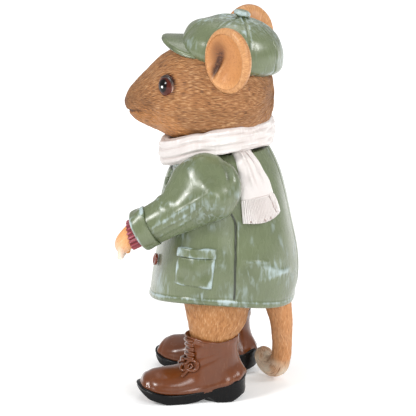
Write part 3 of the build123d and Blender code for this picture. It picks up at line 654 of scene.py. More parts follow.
def brushed_group() -> bpy.types.NodeTree:
    """Glossy paint with a dark wash in grooves, pale dry brushing on ridges, and faint brush marks."""
    tree, given, made = start_group(
        "Brushed_Paint",
        {"Place": "vector", "Relief": 0.0, "Tone": 0.0, "Base": (0.2, 0.2, 0.1), "Second": (0.2, 0.2, 0.1),
         "Wash": (0.05, 0.05, 0.03), "Brush": (0.6, 0.7, 0.7), "Scumble": 0.5, "Grain": 1.0, "Sheen": 0.3},
        {"Colour": "NodeSocketColor", "Height": "NodeSocketFloat", "Roughness": "NodeSocketFloat"})
    cloud = tree.noise(given["Place"], 58.0, 3.0, 0.6)
    streak = tree.noise(tree.stretched(given["Place"], (1.0, 1.0, 0.30)), 520.0, 3.0, 0.5)
    fleck = tree.noise(given["Place"], 1500.0, 2.0)
    paint = tree.mix(given["Tone"], given["Base"], given["Second"])
    paint = tree.mix(tree.span(cloud, 0.35, 0.75, 0.0, 0.28), paint, given["Wash"])
    ridge = tree.span(tree.plus(given["Relief"], tree.times(tree.plus(streak, -0.5), 1.5)), 0.20, 0.95)
    scumble = tree.times(tree.span(cloud, 0.50, 0.72), tree.span(streak, 0.44, 0.66))
    pale = tree.math("MAXIMUM", ridge, tree.times(scumble, given["Scumble"]), True)
    paint = tree.mix(tree.times(pale, 0.75), paint, given["Brush"])
    groove = tree.span(given["Relief"], -0.75, -0.08, 0.92, 0.0)
    tree.put(made["Colour"], tree.mix(groove, paint, given["Wash"]))
    tree.put(made["Height"], tree.times(tree.plus(streak, tree.times(fleck, 0.4)), given["Grain"]))
    rough = tree.plus(given["Sheen"], tree.span(streak, 0.3, 0.7, -0.06, 0.08))
    tree.put(made["Roughness"], tree.plus(rough, tree.times(pale, 0.12)))
    return tree.tree


GROUPS: dict[Pattern, Callable[[], bpy.types.NodeTree]] = {Pattern.FUR: fur_group, Pattern.CLOTH: brushed_group}


@dataclass(frozen=True)
class Finish:
    """One paint scheme, with the record's slot that it finishes."""

    name: str
    slot: str
    pattern: Pattern
    base: str
    wash: str
    brush: str
    second: str | None = None
    sheen: float = 0.34
    scumble: float = 0.5
    bump: float = 0.25
    coat: float = 0.25
    shine: float = 0.4
    stroke: float = 1.0
    fleck: float = 0.0

    def shader(self, tree: Tree) -> bpy.types.Node:
        """A group for the finish's paint, then one Principled shader."""
        group = bpy.data.node_groups.get("Sculpted_Fur" if self.pattern is Pattern.FUR else "Brushed_Paint")
        if group is None:
            group = GROUPS[self.pattern]()
        paint = tree.tree.nodes.new("ShaderNodeGroup")
        paint.node_tree = group
        values = {"Place": tree.place(), "Relief": tree.attribute("relief"), "Tone": tree.attribute("tone"),
                  "Second": tint(self.second or self.base)}
        if self.pattern is Pattern.FUR:
            flow = tree.node("ShaderNodeUVMap", {"uv_map": "flow"}).outputs[0]
            values |= {"Flow": flow, "Shade": tint(self.wash), "Coat": tint(self.base), "Tip": tint(self.brush),
                       "Stroke": self.stroke, "Fleck": self.fleck}
        else:
            values |= {"Base": tint(self.base), "Wash": tint(self.wash), "Brush": tint(self.brush),
                       "Scumble": self.scumble, "Sheen": self.sheen}
        for label, value in values.items():
            tree.put(paint.inputs[label], value)
        bump = tree.node("ShaderNodeBump", Strength=0.8, Distance=self.bump * METRE, Height=paint.outputs["Height"])
        return tree.node("ShaderNodeBsdfPrincipled", Base_Color=paint.outputs["Colour"],
                         Roughness=paint.outputs["Roughness"], Normal=bump.outputs[0], Coat_Weight=self.coat,
                         Coat_Roughness=0.28, Specular_IOR_Level=self.shine)


FUR = Finish("Head_Fur", "fur", Pattern.FUR, "a06c40", "634027", "dcae7c", "c88446", bump=0.7, coat=0.05,
             stroke=0.95)
# The leg's darker second colour is painted shade at the top of the leg, under the coat.
LEG_FUR = Finish("Leg_Fur", "leg_fur", Pattern.FUR, "b07845", "85502a", "e0b283", "95602f", bump=0.4, coat=0.05,
                 stroke=0.75)
TAIL_FUR = Finish("Tail_Fur", "tail_fur", Pattern.FUR, "c08350", "84552f", "e8bb8c", "d9c8b2", bump=0.3, coat=0.05,
                  stroke=0.7)
# The ear's dark second colour is painted shade in the canal and the front of the dish, and the own brown of its back.
EAR_SKIN = Finish("Ear_Skin", "ear_skin", Pattern.FUR, "c4874f", "9c5f30", "ecb983", "45240f", bump=0.2, coat=0.2,
                  stroke=0.35, fleck=0.30)
PAW_SKIN = Finish("Paw_Skin", "paw_skin", Pattern.FUR, "df9c5a", "ba7a40", "f0cfa6", "efe2d6", bump=0.2, coat=0.15,
                  stroke=0.6)
LID_SKIN = Finish("Lid_Skin", "ear_skin", Pattern.CLOTH, "9a7058", "3a241a", "e6cabc", "2a1a14", sheen=0.3,
                  scumble=0.0, bump=0.05, coat=0.4)
SAGE = Finish("Sage_Cloth", "sage_cloth", Pattern.CLOTH, "677152", "2e3424", "b7c9cd", sheen=0.26, scumble=0.85,
              bump=0.12, coat=0.55)
SCARF = Finish("Scarf_Cloth", "scarf_cloth", Pattern.CLOTH, "dad4d1", "b3a19b", "efebe9", sheen=0.55, scumble=0.6,
               bump=0.10, coat=0.0)
BOOT = Finish("Boot_Leather", "boot_leather", Pattern.CLOTH, "6a3511", "331606", "a06c44", sheen=0.20, scumble=0.1,
              bump=0.04, coat=0.8, shine=0.2)
SOLE = Finish("Sole_Black", "sole_black", Pattern.CLOTH, "0a0a0b", "030303", "222226", sheen=0.26, scumble=0.1,
              bump=0.06, coat=0.15, shine=0.12)
KNIT = Finish("Knit_Burgundy", "knit_burgundy", Pattern.CLOTH, "8c303a", "421218", "b87680", sheen=0.45, scumble=0.2,
              bump=0.15, coat=0.1)
BUTTON = Finish("Coat_Button_Gloss", "coat_button", Pattern.CLOTH, "7c3218", "2c0e06", "9a5c40", sheen=0.16,
                scumble=0.1, bump=0.03, coat=0.8)


@dataclass(frozen=True)
class EyeFinish:
    """Glossy painted eye."""

    name: str = "Painted_Eye"
    slot: str = "eye"
    pupil: str = "050202"
    rings: tuple = ((0.80, 1.15, "4e2016"), (1.30, 1.90, "5f2a1e"), (2.05, 2.50, "1c0b07"))

    def shader(self, tree: Tree) -> bpy.types.Node:
        """Pupil, then a colour beyond each ring of the relief, and one painted highlight from the tone."""
        grain = tree.times(tree.plus(tree.noise(tree.place(), 900.0), -0.5), 0.12)
        ring = tree.plus(tree.attribute("relief"), grain)
        paint = tint(self.pupil)
        for start, end, colour in self.rings:
            paint = tree.mix(tree.span(ring, start, end), paint, tint(colour))
        paint = tree.mix(tree.span(tree.attribute("tone"), 0.35, 0.6), paint, tint("ffffff"))
        return tree.node("ShaderNodeBsdfPrincipled", Base_Color=paint, Roughness=0.10, Coat_Weight=0.35,
                         Coat_Roughness=0.04, Specular_IOR_Level=0.12)


EYE = EyeFinish()


# The figure


@dataclass
class Head:
    """Head with eyes and lids, lofted from the nose to the back of the skull."""

    length: float = 66.9
    height: float = 48.0
    half_width: float = 27.6
    nose_y: float = -39.7
    base_z: float = 111.4
    nose_level: float = 0.379
    nape_level: float = 0.450
    rows: int = 240
    columns: int = 396
    shares: tuple = ((0.010, 0.433, 0.379, 0.329, 0.094), (0.033, 0.500, 0.383, 0.275, 0.188),
                     (0.078, 0.575, 0.388, 0.213, 0.283), (0.145, 0.673, 0.392, 0.163, 0.400),
                     (0.235, 0.800, 0.404, 0.117, 0.565), (0.324, 0.883, 0.419, 0.071, 0.768),
                     (0.444, 0.958, 0.429, 0.025, 0.920), (0.593, 1.000, 0.429, 0.000, 1.000),
                     (0.743, 0.983, 0.419, 0.033, 0.990), (0.862, 0.877, 0.419, 0.096, 0.870),
                     (0.952, 0.720, 0.429, 0.175, 0.616), (0.988, 0.617, 0.450, 0.283, 0.344))
    eye: tuple = (20.0, -18.2, 139.9)
    eye_turn: float = 34.0
    eye_radius: float = 5.2
    eye_sink: float = 3.3
    pupil: tuple = (-0.02, 0.14)
    pupil_sizes: tuple = (0.46, 0.60)
    glint: tuple = (0.0, 0.04)
    lid_radius: float = 4.15
    mouth_z: float = 125.0
    mouth_bend: tuple = (0.30, 0.012)
    cheek: tuple = (-12.0, 127.0)
    nostril: tuple = (2.2, -38.6, 130.6)
    philtrum: tuple = (-39.5, 129.6)
    # middle of the painted shade on the side of the muzzle
    muzzle_shade: tuple = (-26.8, 131.0)
    tip: tuple = (-38.5, 128.6)
    flecks: tuple = ((8.3, 124.2), (10.4, 124.9), (12.4, 125.7))
    tuft_cells: tuple = (30, 112)
    clump_cells: tuple = (20, 40)
    neck: tuple = (17.0, 15.0, 1.5, 101.2, 124.0)

    def form(self) -> Skin:
        """Skull and muzzle.

        Formula: at each share of the length, an oval with its own half width, top and bottom; the
        share follows half of one less the cosine of an even parameter, so both ends are round.
        """
        shares = np.array(self.shares)
        knots = np.concatenate([[0], np.arccos(1 - 2 * shares[:, 0]), [np.pi]])
        ends = [[self.nose_level] * 3 + [0.0]], [[self.nape_level] * 3 + [0.0]]
        table = np.concatenate([ends[0], shares[:, 1:], ends[1]])
        even = np.linspace(POLE, np.pi - POLE, self.rows)
        top, middle, bottom, half = curve_through(knots, table, even).T[..., None]
        across, up = superellipse(angles(self.columns, -np.pi / 2))
        z = self.base_z + self.height * (middle + np.where(up > 0, top - middle, middle - bottom) * up)
        y = self.nose_y + self.length * (1 - np.cos(even[:, None])) / 2
        return Skin(stacked(self.half_width * half * across, y, z))

    def sculpted(self) -> Skin:
        """The head with its eye sockets, brows, cheeks, mouth, nostrils and clumps of fur."""
        skin = self.form()
        x, y, z = np.moveaxis(skin.points, -1, 0)
        side = np.abs(x)
        away = np.linalg.norm(stacked(side, y, z) - self.eye, axis=-1)
        socket = hump(away, 5.6)
        brow = hump(away - 7.0, 2.2) * ease(-6, 4, z - self.eye[2])
        cheek = dab(y, z, self.cheek, (9.0, 9.0)) * ease(8, 18, side)
        behind_nose = y - self.nose_y
        line = self.mouth_z + self.mouth_bend[0] * behind_nose - self.mouth_bend[1] * behind_nose ** 2
        mouth = hump(z - line, 0.75) * (1 - ease(-33.0, -27.5, y))
        nostril = hump(np.linalg.norm(stacked(side, y, z) - self.nostril, axis=-1), 0.95)
        philtrum = hump(side, 0.6) * hump(y - self.philtrum[0], 2.0) * (z < self.philtrum[1])
        skin.raised(0.55 * brow + 0.8 * cheek - 0.9 * socket - 0.75 * mouth - 0.6 * nostril - 0.35 * philtrum)
        skin.relief -= 1.5 * mouth + 1.2 * nostril
        fur = self.fur(1 - hump(away, 4.6))
        skin.raised(fur, 1.0)
        lower = 1 - ease(-2.0, 5.5, z - line + 0.30 * np.clip(y + 16, 0, 30))
        skin.tone = np.clip(0.95 * lower * (1 - 0.35 * ease(-6, 14, y)) + 0.20 * hump(away - 8, 5), 0, 1)
        # Painted shade: a dark patch on the side of the muzzle, over the whisker pad.
        muzzle_shade = dab(y, z, self.muzzle_shade, (5.0, 5.556)) * ease(4, 9, side)
        tip = dab(y, z, self.tip, (2.6, 3.25))
        rear_top = ease(-2.5, 3.0, z - self.eye[2] + 0.9 * (y - self.eye[1]))
        skin.relief -= 0.55 * muzzle_shade + 0.6 * tip + 1.3 * hump(away - 5.2, 1.0) * rear_top
        skin.relief += 4.0 * sum(dab(y, z, fleck, (0.60, 0.42)) for fleck in self.flecks) * ease(10, 15, x)
        return skin

    def fur(self, cover: Array) -> Array:
        """Heights of the tufts and clumps of fur, which fade toward the nose and where the cover is 0."""
        along = np.linspace(0, 1, self.rows)[:, None]
        around = angles(self.columns) / TURN
        drift = 0.012 * lattice(along, around, (7, 9), 4)
        tufts = lattice(along, around + drift, self.tuft_cells, 11)
        clumps = lattice(along, around - drift, self.clump_cells, 12)
        return (0.24 * tufts + 0.15 * clumps) * ease(0.02, 0.30, along) * cover

    def neck_plug(self) -> Skin:
        """Hidden neck: an oval column between the head and the coat."""
        half_width, half_depth, y, low, high = self.neck
        angle = angles(64)
        level = np.linspace(low, high, 6)[:, None]
        return Skin(stacked(half_width * np.cos(angle), y + half_depth * np.sin(angle), level))

    def eye_axes(self) -> tuple[Array, Array, Array]:
        """Across, upward and outward directions of the left eye."""
        return facing_axes(turned_ahead(self.eye_turn))

    def eyeball(self) -> Skin:
        """Left eyeball: a ball whose relief holds the distance from the pupil and whose tone holds the highlight."""
        axes = self.eye_axes()
        local = ball_grid(60, 72)
        skin = Skin(np.array(self.eye) - axes[2] * self.eye_sink + self.eye_radius * on_axes(local, axes))
        from_pupil = (local[..., :2] - self.pupil) / self.pupil_sizes
        skin.relief = np.where(local[..., 2] > 0, np.linalg.norm(from_pupil, axis=-1), 3.0)
        skin.tone = np.where(local[..., 2] > 0, dab(local[..., 0], local[..., 1], self.glint, (0.12, 0.12)), 0.0)
        return skin

    def lids(self) -> Skin:
        """Left lids: a soft rolled rim round the eye, thicker above and behind, flattened onto the fur."""
        across, up, out = self.eye_axes()
        angle = angles(96).T
        roll = angles(20)
        rear = 0.5 + 0.5 * np.cos(angle - np.radians(40.0))
        thick = 0.62 + 0.42 * rear
        radius = self.lid_radius + thick * np.cos(roll)
        points = (np.array(self.eye) + out * (-0.95 + 0.9 * thick * np.sin(roll))[..., None]
                  + (radius * np.cos(angle))[..., None] * across * 0.94
                  + (radius * np.sin(angle))[..., None] * up * 1.04)
        skin = Skin(points, ring=True)
        skin.tone += ease(0.1, 0.9, np.sin(angle) + 0.35 * np.cos(angle))
        inside = 0.5 - 0.5 * np.cos(roll)
        skin.relief = 1.3 * ease(-0.1, 0.7, np.cos(angle + 0.8)) * inside * (1 - skin.tone) - 0.05
        return skin

    def dress(self, shop: Workshop) -> None:
        """Make the head, its eyes and its lids."""
        shop.piece("head_sculpt", [self.sculpted(), self.neck_plug()], FUR, "head")
        eye, lid = self.eyeball(), self.lids()
        shop.piece("eye_left", [eye], EYE, "left_eye")
        shop.piece("eye_right", [eye.mirrored()], EYE, "right_eye")
        shop.piece("eye_lids", [lid, lid.mirrored()], LID_SKIN)


@dataclass
class Ear:
    """Round dished ear with a thick rolled rim and a deep canal low at the front."""

    centre: tuple = (31.0, 10.2, 153.9)
    turn: float = 35.0
    radius: float = 14.3
    narrow: float = 0.90
    rim: float = 2.4
    rim_swell: float = 1.3
    hollow: float = 3.6
    back: float = 6.4
    far_shift: tuple = (0.0, 1.3, 1.6)

    def form(self) -> Skin:
        """Left ear.

        Formula: polar grid whose profile runs over the dish, round the rim as half an oval and back
        over a shallow bowl. The rim is widest above and behind. The dish drops as a power of the
        radius, deeper in front, with bells for the canal, the ridge behind it and the front lip.
        """
        angle = angles(192, -np.pi / 2)
        rim = self.rim + self.rim_swell * np.cos(angle - 0.5)
        tall = self.radius - rim
        dish = np.linspace(POLE, 1, 76)[:, None]
        roll = np.linspace(0, np.pi, 26)[1:-1, None]
        bowl = np.linspace(1, POLE, 40)[:, None]
        over = (1 - np.cos(roll)) / 2
        r = np.concatenate([dish * tall, tall + rim * over, bowl * self.radius + 0 * angle])
        u, v = self.narrow * r * np.cos(angle), r * np.sin(angle)
        first = len(dish)
        deep = (self.hollow - 0.02 * u[:first]) * (1 - 0.45 * ease(5, 11, -v[:first]))
        d = np.concatenate([-deep * (1 - dish ** 2.1), 0.42 * rim * np.sin(roll) - 0.8 * over,
                            -self.back * np.sqrt(np.clip(1 - bowl ** 2, 0, 1)) - 0.8 + 0 * angle])
        is_front = (np.arange(len(r)) < first)[:, None]
        line = -7.2 + 0.32 * (v + 4)
        slot = hump(u - line, 1.35) * hump(v + 3.6, 5.4)
        ridge = hump(u - line - 3.1, 1.7) * hump(v + 6.2, 5.6)
        lip = hump(u - line + 2.6, 1.5) * hump(v + 6.5, 4.2)
        fade = 1 - dish ** 8
        d[:first] += (-0.8 * slot + 2.0 * ridge + 1.5 * lip)[:first] * fade
        skin = Skin(np.array(self.centre) + on_axes(stacked(u, v, d), facing_axes(turned_ahead(self.turn))))
        share = r / self.radius
        strokes = lattice(share * 0.9, angle / TURN, (9, 80), 21)
        skin.raised(0.07 * strokes * ease(0.25, 0.6, share) * (1 - 0.6 * ease(0.75, 0.85, share)))
        on_rim = ease(0.0, 1.0, (r - tall + 2.6) / 4.0)
        skin.relief = 0.15 * strokes + np.where(is_front | (share < 0.999), 0.55 * on_rim, 0.0)
        # Painted shade darkens the upper front of the dish.
        skin.relief += (0.45 * ridge - 0.60 * dab(u, v, (-4.5, 3.5), (6.0, 6.0)) + 0.35 * ease(6, 12, -v)) * is_front
        # Painted shade: the canal and the dish under the front wall take the dark second colour. The back of the ear
        # takes a little of it as its own brown.
        hollow = 1.25 * slot + 0.75 * dab(u, v, (-6.4, 2.5), (3.78, 6.72))
        skin.tone = np.clip(hollow * is_front * (1 - 0.8 * on_rim), 0, 1) + 0.28 * ~is_front
        return skin

    def dress(self, shop: Workshop) -> None:
        """Make both ears; the right one sits a little higher and further back."""
        skin = self.form()
        shop.piece("ear_left", [skin], EAR_SKIN, "left_ear")
        far = skin.mirrored()
        far.points = far.points + self.far_shift
        shop.piece("ear_right", [far], EAR_SKIN, "right_ear")


@dataclass
class Cap:
    """Soft flat cap of eight padded panels with a button on top and a stiff bent peak."""

    length: float = 45.6
    half_width: float = 23.8
    rise: float = 17.0
    sag: float = 6.4
    y: float = 9.0
    z: float = 152.9
    tilt: float = 13.8
    panels: int = 8
    seam: float = 0.980
    shares: tuple = ((-1.0, 0.74), (-0.8, 0.86), (-0.55, 0.955), (0.0, 1.0), (0.30, 0.965), (0.60, 0.815),
                     (0.82, 0.57), (0.95, 0.27), (1.0, 0.03))
    button: float = 3.7
    button_height: float = 3.3
    peak_reach: float = 18.7
    peak_half_width: float = 17.8
    peak_y: float = -4.0
    peak_z: float = 160.2
    peak_bend: float = 28.0
    peak_thickness: float = 2.6

    def seated(self, local: Array) -> Array:
        """Points of the level cap tipped to the back and set on the head."""
        return local @ turned("X", -self.tilt).T + (0.0, self.y, self.z)

    def crown(self) -> Skin:
        """Crown.

        Formula: profile radius times an oval; each panel swells by the lesser cosine of its angle,
        and a narrow bell along each seam makes the stitched groove.
        """
        shares = np.array(self.shares)
        travel = np.concatenate([[0], np.cumsum(np.hypot(np.diff(shares[:, 0]) * 0.8, np.diff(shares[:, 1])))])
        at = np.linspace(0, travel[-1], 150)
        height, radius = curve_through(travel, shares, at).T[..., None]
        angle = angles(320)
        phase = angle * self.panels / TURN + 0.5
        nearest = np.abs(phase - np.round(phase)) * TURN / self.panels
        lobe = self.seam + (1 - self.seam) * np.sin(np.pi * np.abs(phase % 1))
        spread = radius * lobe
        ahead = np.clip(-np.sin(angle), 0, 1)
        z = np.where(height > 0, height * self.rise * (1 - 0.10 * ahead), height * self.sag)
        local = stacked(self.half_width * spread * np.cos(angle),
                        self.length / 2 * spread * np.sin(angle) * (1 + 0.04 * ahead), z)
        skin = Skin(self.seated(local))
        arc = nearest * radius * self.half_width
        groove = hump(arc, 0.55) * ease(-0.75, -0.35, height) * ease(0.03, 0.12, radius)
        welt = hump(arc - 1.3, 0.6) * ease(-0.6, 0.0, height) * ease(0.05, 0.2, radius)
        puckers = np.sin(angle * 46 + 2 * np.sin(angle * 7)) * hump(height + 0.85, 0.25)
        soft = ripple(skin.points, 13.0, 31)
        skin.raised(-0.30 * groove + 0.14 * welt + 0.14 * puckers + 0.20 * soft * ease(-0.9, -0.2, height))
        skin.relief += -0.40 * groove + 0.24 * welt + 0.10 * puckers + 0.34 * ease(0.55, 1.0, height)
        skin.relief += 0.24 * np.clip(soft, 0, 1)
        return skin

    def top_button(self) -> Skin:
        """Covered button: a squashed dome, its profile a quarter superellipse, with a slight dent."""
        polar = np.linspace(0.03, np.pi - 0.03, 40)[:, None]
        angle = angles(56)
        radius = self.button * np.sin(polar) ** 0.7 * (1 + 0.03 * np.cos(angle * 8))
        z = self.rise + 0.7 + np.cos(polar) * self.button_height * 0.52 - 0.5 * hump(polar, 0.35)
        skin = Skin(self.seated(stacked(radius * np.cos(angle), radius * np.sin(angle), z)))
        skin.relief += 0.5 * ease(0.2, 1.0, np.sin(polar)) * (np.cos(polar) > -0.2) + 0.25
        return skin

    def peak(self) -> Skin:
        """Peak: half an oval bent over a cylinder, as a slab with a rounded edge."""
        reach = np.linspace(0.30, 1.0, 40)[None, :]
        angle = np.linspace(-np.pi / 2, np.pi / 2, 90)[:, None]
        x = self.peak_half_width * reach * np.sin(angle)
        y = self.peak_y - self.peak_reach * reach * np.cos(angle)
        z = self.peak_z - self.peak_bend + np.sqrt(self.peak_bend ** 2 - x ** 2) - self.peak_thickness * 0.5
        middle = stacked(x, y, z)
        down = unit(stacked(-x, 0.0, -(z - self.peak_z + self.peak_bend)))
        half = self.peak_thickness / 2 * (1 - np.abs(np.linspace(-1, 1, 40))[None, :] ** 14) ** 0.5
        top, under = middle - down * half[..., None], middle + down * half[..., None]
        skin = Skin(np.concatenate([top, under[:, ::-1]], 1))
        edge = np.broadcast_to(ease(0.86, 1.0, reach), x.shape)
        stitch = np.broadcast_to(hump(reach - 0.90, 0.012), x.shape)
        worn = 0.5 + 0.5 * ripple(middle, 7.0, 33)
        skin.relief = np.concatenate([0.45 * edge * worn - 0.25 * stitch - 0.20, 0.3 * edge[:, ::-1]], 1)
        return skin

    def dress(self, shop: Workshop) -> None:
        """Make the cap's three pieces."""
        shop.piece("cap_panels", [self.crown()], SAGE, "cap_crown")
        shop.piece("cap_visor", [self.peak()], SAGE, "cap_peak")
        shop.piece("cap_top_button", [self.top_button()], SAGE, "cap_button")


@dataclass
class Coat:
    """Tapering coat with a rolled hem, pressed seams, pockets, lapels, collar and buttons."""

    foot_z: float = 38.0
    height: float = 76.0
    top_z: float = 110.4
    front: float = 27.6
    back: float = 39.0
    half_width: float = 38.8
    squareness: float = 2.1
    shares: tuple = ((0.000, 1.020, 0.925, 0.990), (0.079, 1.005, 0.958, 1.000), (0.210, 0.955, 0.990, 0.992),
                     (0.342, 0.890, 0.982, 0.967), (0.526, 0.810, 0.915, 0.902), (0.684, 0.756, 0.842, 0.838),
                     (0.816, 0.655, 0.766, 0.760), (0.921, 0.515, 0.675, 0.644), (1.000, 0.362, 0.577, 0.490))
    hem_z: float = 41.2
    hem_radius: float = 144.0
    hem_tilt: float = 1.8
    hem_wall: float = 3.2
    hem_recess: float = 3.0
    seam_y: float = 14.6
    seam_top: float = 88.0
    closing_x: float = -23.5
    closing_top: float = 86.0
    folds: tuple = (Fold(63.0, 0.30, 20.0, 1.6, (20, 26), (36, 38), 0.34, 0.26),
                    Fold(57.0, -0.22, 30.0, 1.2, (24, 30), (60, 61), 0.24, 0.24),
                    Fold(66.0, 0.16, 16.0, 0.8, (17, 20), (27, 30), 0.22, 0.30))
    scuffs: tuple = ((10.5, 48.0, 3.6, 6.5, 1.0), (-20.0, 53.0, 5.5, 8.0, 1.0), (30.0, 60.0, 7.0, 5.0, 0.8))
    pocket_half: float = 8.4
    pocket_y: float = -1.5
    pocket_top: float = 71.6
    pocket_lean: float = 0.13
    pocket_droop: float = 0.0806
    lapel_width: float = 14.5
    lapel_foot: float = 83.0
    lapel_rise: float = 18.4
    lapel_edge: tuple = ((0.0, 0.05), (0.62, 1.0), (0.70, 0.80), (0.76, 0.74), (0.84, 0.95), (1.0, 0.92))
    collar_reach: float = 25.0
    collar_foot: float = 102.0
    button_x: float = 18.4
    button_levels: tuple = (61.6, 78.0)
    button_radius: float = 2.7
    button_plan: tuple = ((0, 0.02), (0.55, 0.97), (0.72, 1.0), (0.82, 0.95), (1.0, 0.02))
    button_depth: tuple = ((0, 0.95), (0.30, 1.0), (0.42, 1.55), (0.55, 1.5), (0.72, 0.9), (0.82, 0.3), (1.0, 0.25))
    ceiling_rows: int = 12
    wall_rows: int = 8
    bead_rows: int = 12
    top_rows: int = 10
    rows: int = 230
    columns: int = 400

    def reach(self, level: Array) -> tuple[Array, Array, Array]:
        """Front, back and half width of the coat at a level."""
        sizes = through(self.shares, (np.asarray(level) - self.foot_z) / self.height)
        return sizes[..., 0] * self.front, sizes[..., 1] * self.back, sizes[..., 2] * self.half_width

    def field(self, points: Array) -> Array:
        """Negative inside the coat: the superellipse radius of a point less one, times the half width."""
        front, back, half = self.reach(points[..., 2])
        deep = np.where(points[..., 1] < 0, front, back)
        power = self.squareness
        share = (np.abs(points[..., 0] / half) ** power + np.abs(points[..., 1] / deep) ** power) ** (1 / power)
        return (share - 1) * half

    def side_points(self, y: Array, z: Array) -> Array:
        """Points on the coat's left side for places seen from the side."""
        front, back, half = self.reach(z)
        return stacked(half * self.root(y / np.where(y < 0, front, back)), y, z)

    def front_points(self, x: Array, z: Array) -> Array:
        """Points on the coat's front for places seen from the front."""
        front, _, half = self.reach(z)
        return stacked(x, -front * self.root(x / half), z)

    def root(self, share: Array) -> Array:
        """How far the superellipse of the outline reaches one way, for a share of its reach the other way."""
        return np.clip(1 - np.abs(share) ** self.squareness, 0, 1) ** (1 / self.squareness)

    def inward(self, points: Array) -> Array:
        """Unit directions into the coat: minus the gradient of its field, by small differences."""
        step = 0.05
        gradient = np.stack([self.field(points + offset) - self.field(points - offset)
                             for offset in np.eye(3) * step], -1)
        return -unit(gradient)

    def body(self) -> Skin:
        """Coat body.

        Formula: for each angle and level a superellipse point; rows run from the middle of the recess
        under the hem, out along its ceiling, down the inside of the wall, round the hem and up.
        """
        across, along = superellipse(angles(self.columns, -np.pi / 2), self.squareness)
        hem_x = self.half_width * across
        hem = (self.hem_z + self.hem_radius - np.sqrt(self.hem_radius ** 2 - hem_x ** 2)
               - np.tan(np.radians(self.hem_tilt)) * self.back * along)
        ceiling = hem + self.hem_recess
        rise = np.linspace(0, 1, self.rows)[:, None] ** 0.92
        outer = hem + 0.9 + (self.top_z - hem - 0.9) * rise
        bead = np.linspace(0, np.pi, self.bead_rows + 2)[1:-1, None]
        lip = hem + 0.9 - 0.9 * np.sin(bead)
        wall = ceiling + (hem + 0.9 - ceiling) * np.linspace(0, 1, self.wall_rows)[:, None]
        levels = np.concatenate([np.repeat(ceiling, self.ceiling_rows, 0), wall, lip, outer,
                                 np.full((self.top_rows, self.columns), self.top_z)])
        inner = 1 - self.hem_wall / self.half_width
        scale = np.concatenate([np.linspace(POLE, inner, self.ceiling_rows), np.full(self.wall_rows, inner),
                                inner + (1 - inner) * (1 - np.cos(bead[:, 0])) / 2, np.ones(self.rows),
                                np.linspace(1, POLE, self.top_rows + 1)[1:]])[:, None]
        front, back, half = self.reach(levels)
        x = half * across * scale
        y = np.where(along < 0, front, back) * along * scale
        skin = Skin(stacked(x, y, levels))
        is_outer = np.zeros(levels.shape)
        first = self.ceiling_rows + self.wall_rows + self.bead_rows
        is_outer[first:first + self.rows] = 1
        self.carve(skin, is_outer, levels - hem)
        return skin

    def carve(self, skin: Skin, is_outer: Array, above_hem: Array) -> None:
        """Press seams, the hem's edge, the closing edge and soft folds into the coat body."""
        x, y, z = np.moveaxis(skin.points, -1, 0)
        below_top = 1 - ease(self.seam_top + 0.5, self.seam_top + 1.5, z)
        bowed = self.seam_y + 0.4 * np.sin((z - 44) / 46 * np.pi) - 5.0 * np.clip((z - 80.5) / 9.0, 0, 1) ** 2
        seam = hump(y - bowed, 0.32) * below_top * ease(3.2, 4.2, above_hem) * (np.abs(x) > 20)
        shoulder = hump(y - bowed - 1.1, 0.5) * below_top * (np.abs(x) > 20)
        closing = (y < 0) * hump(x - self.closing_x, 0.45) * (1 - ease(self.closing_top - 2, self.closing_top, z))
        lap = (y < 0) * ease(-0.2, 0.2, x - self.closing_x) * (1 - ease(-2.0, 6.0, x - self.closing_x))
        hem_line = hump(above_hem - 3.6, 0.45)
        hem_roll = hump(above_hem - 1.6, 1.5)
        back_seam = hump(x, 0.45) * (y > 0) * ease(3.2, 4.2, above_hem)
        bells = [fold.bell(y, level) for fold, level in zip(self.folds, (z + 1.5 * np.sin(y / 5), z, z))]
        bells[1] = bells[1] * (np.abs(x) > 12)
        soft = ripple(skin.points * (1, 1, 0.6), 26.0, 41) * ease(4, 10, above_hem)
        height = (-0.85 * seam + 0.22 * shoulder - 0.5 * closing + 0.35 * lap - 0.20 * hem_line + 0.42 * hem_roll
                  - 0.4 * back_seam + 0.22 * soft + sum(f.height * b for f, b in zip(self.folds, bells)))
        skin.raised(height * is_outer)
        marks = (-2.4 * seam + 0.25 * shoulder - 0.9 * closing + 0.3 * lap + 0.5 * hump(above_hem - 2.7, 0.6)
                 - 0.25 * hem_line + 0.08 * hem_roll - 0.6 * back_seam
                 + sum(f.mark * b for f, b in zip(self.folds, bells)))
        scuffs = sum(strength * dab(y, z, (a, b), (wide, high)) for a, b, wide, high, strength in self.scuffs)
        skin.relief += (marks + 0.55 * scuffs * (np.abs(x) > 14)) * is_outer

    def pocket_grid(self, top: float, bottom: float, growth: float, rows: int) -> Array:
        """Base points of a part of the left pocket between two depths below its top edge."""
        depth = np.linspace(bottom, top, rows)[:, None]
        side = np.linspace(-1, 1, 40)[None, :]
        y = self.pocket_y + side * (self.pocket_half + growth) - self.pocket_lean * depth
        droop = self.pocket_droop * depth * (side + 1) / 2
        return self.side_points(y, self.pocket_top - depth - droop)

    def pocket(self) -> tuple[Skin, Skin]:
        """Left patch pocket and its flap, as slabs on the side of the coat."""
        bag = self.pocket_grid(3.6, 16.2, 0.0, 40)
        pocket = slab(bag, self.inward(bag), 1.15)
        lid = self.pocket_grid(0.0, 4.2, 0.35, 16)
        flap = slab(lid, self.inward(lid), 2.2)
        for skin, wavelength, pale in ((pocket, 8.0, 0.0), (flap, 6.0, 0.30)):
            soft = ripple(skin.points, wavelength, 45)
            skin.raised(0.16 * soft)
            skin.relief = skin.relief * (0.72 + 0.35 * soft) + 0.22 * np.clip(soft, -0.1, 1) + pale
        return pocket, flap

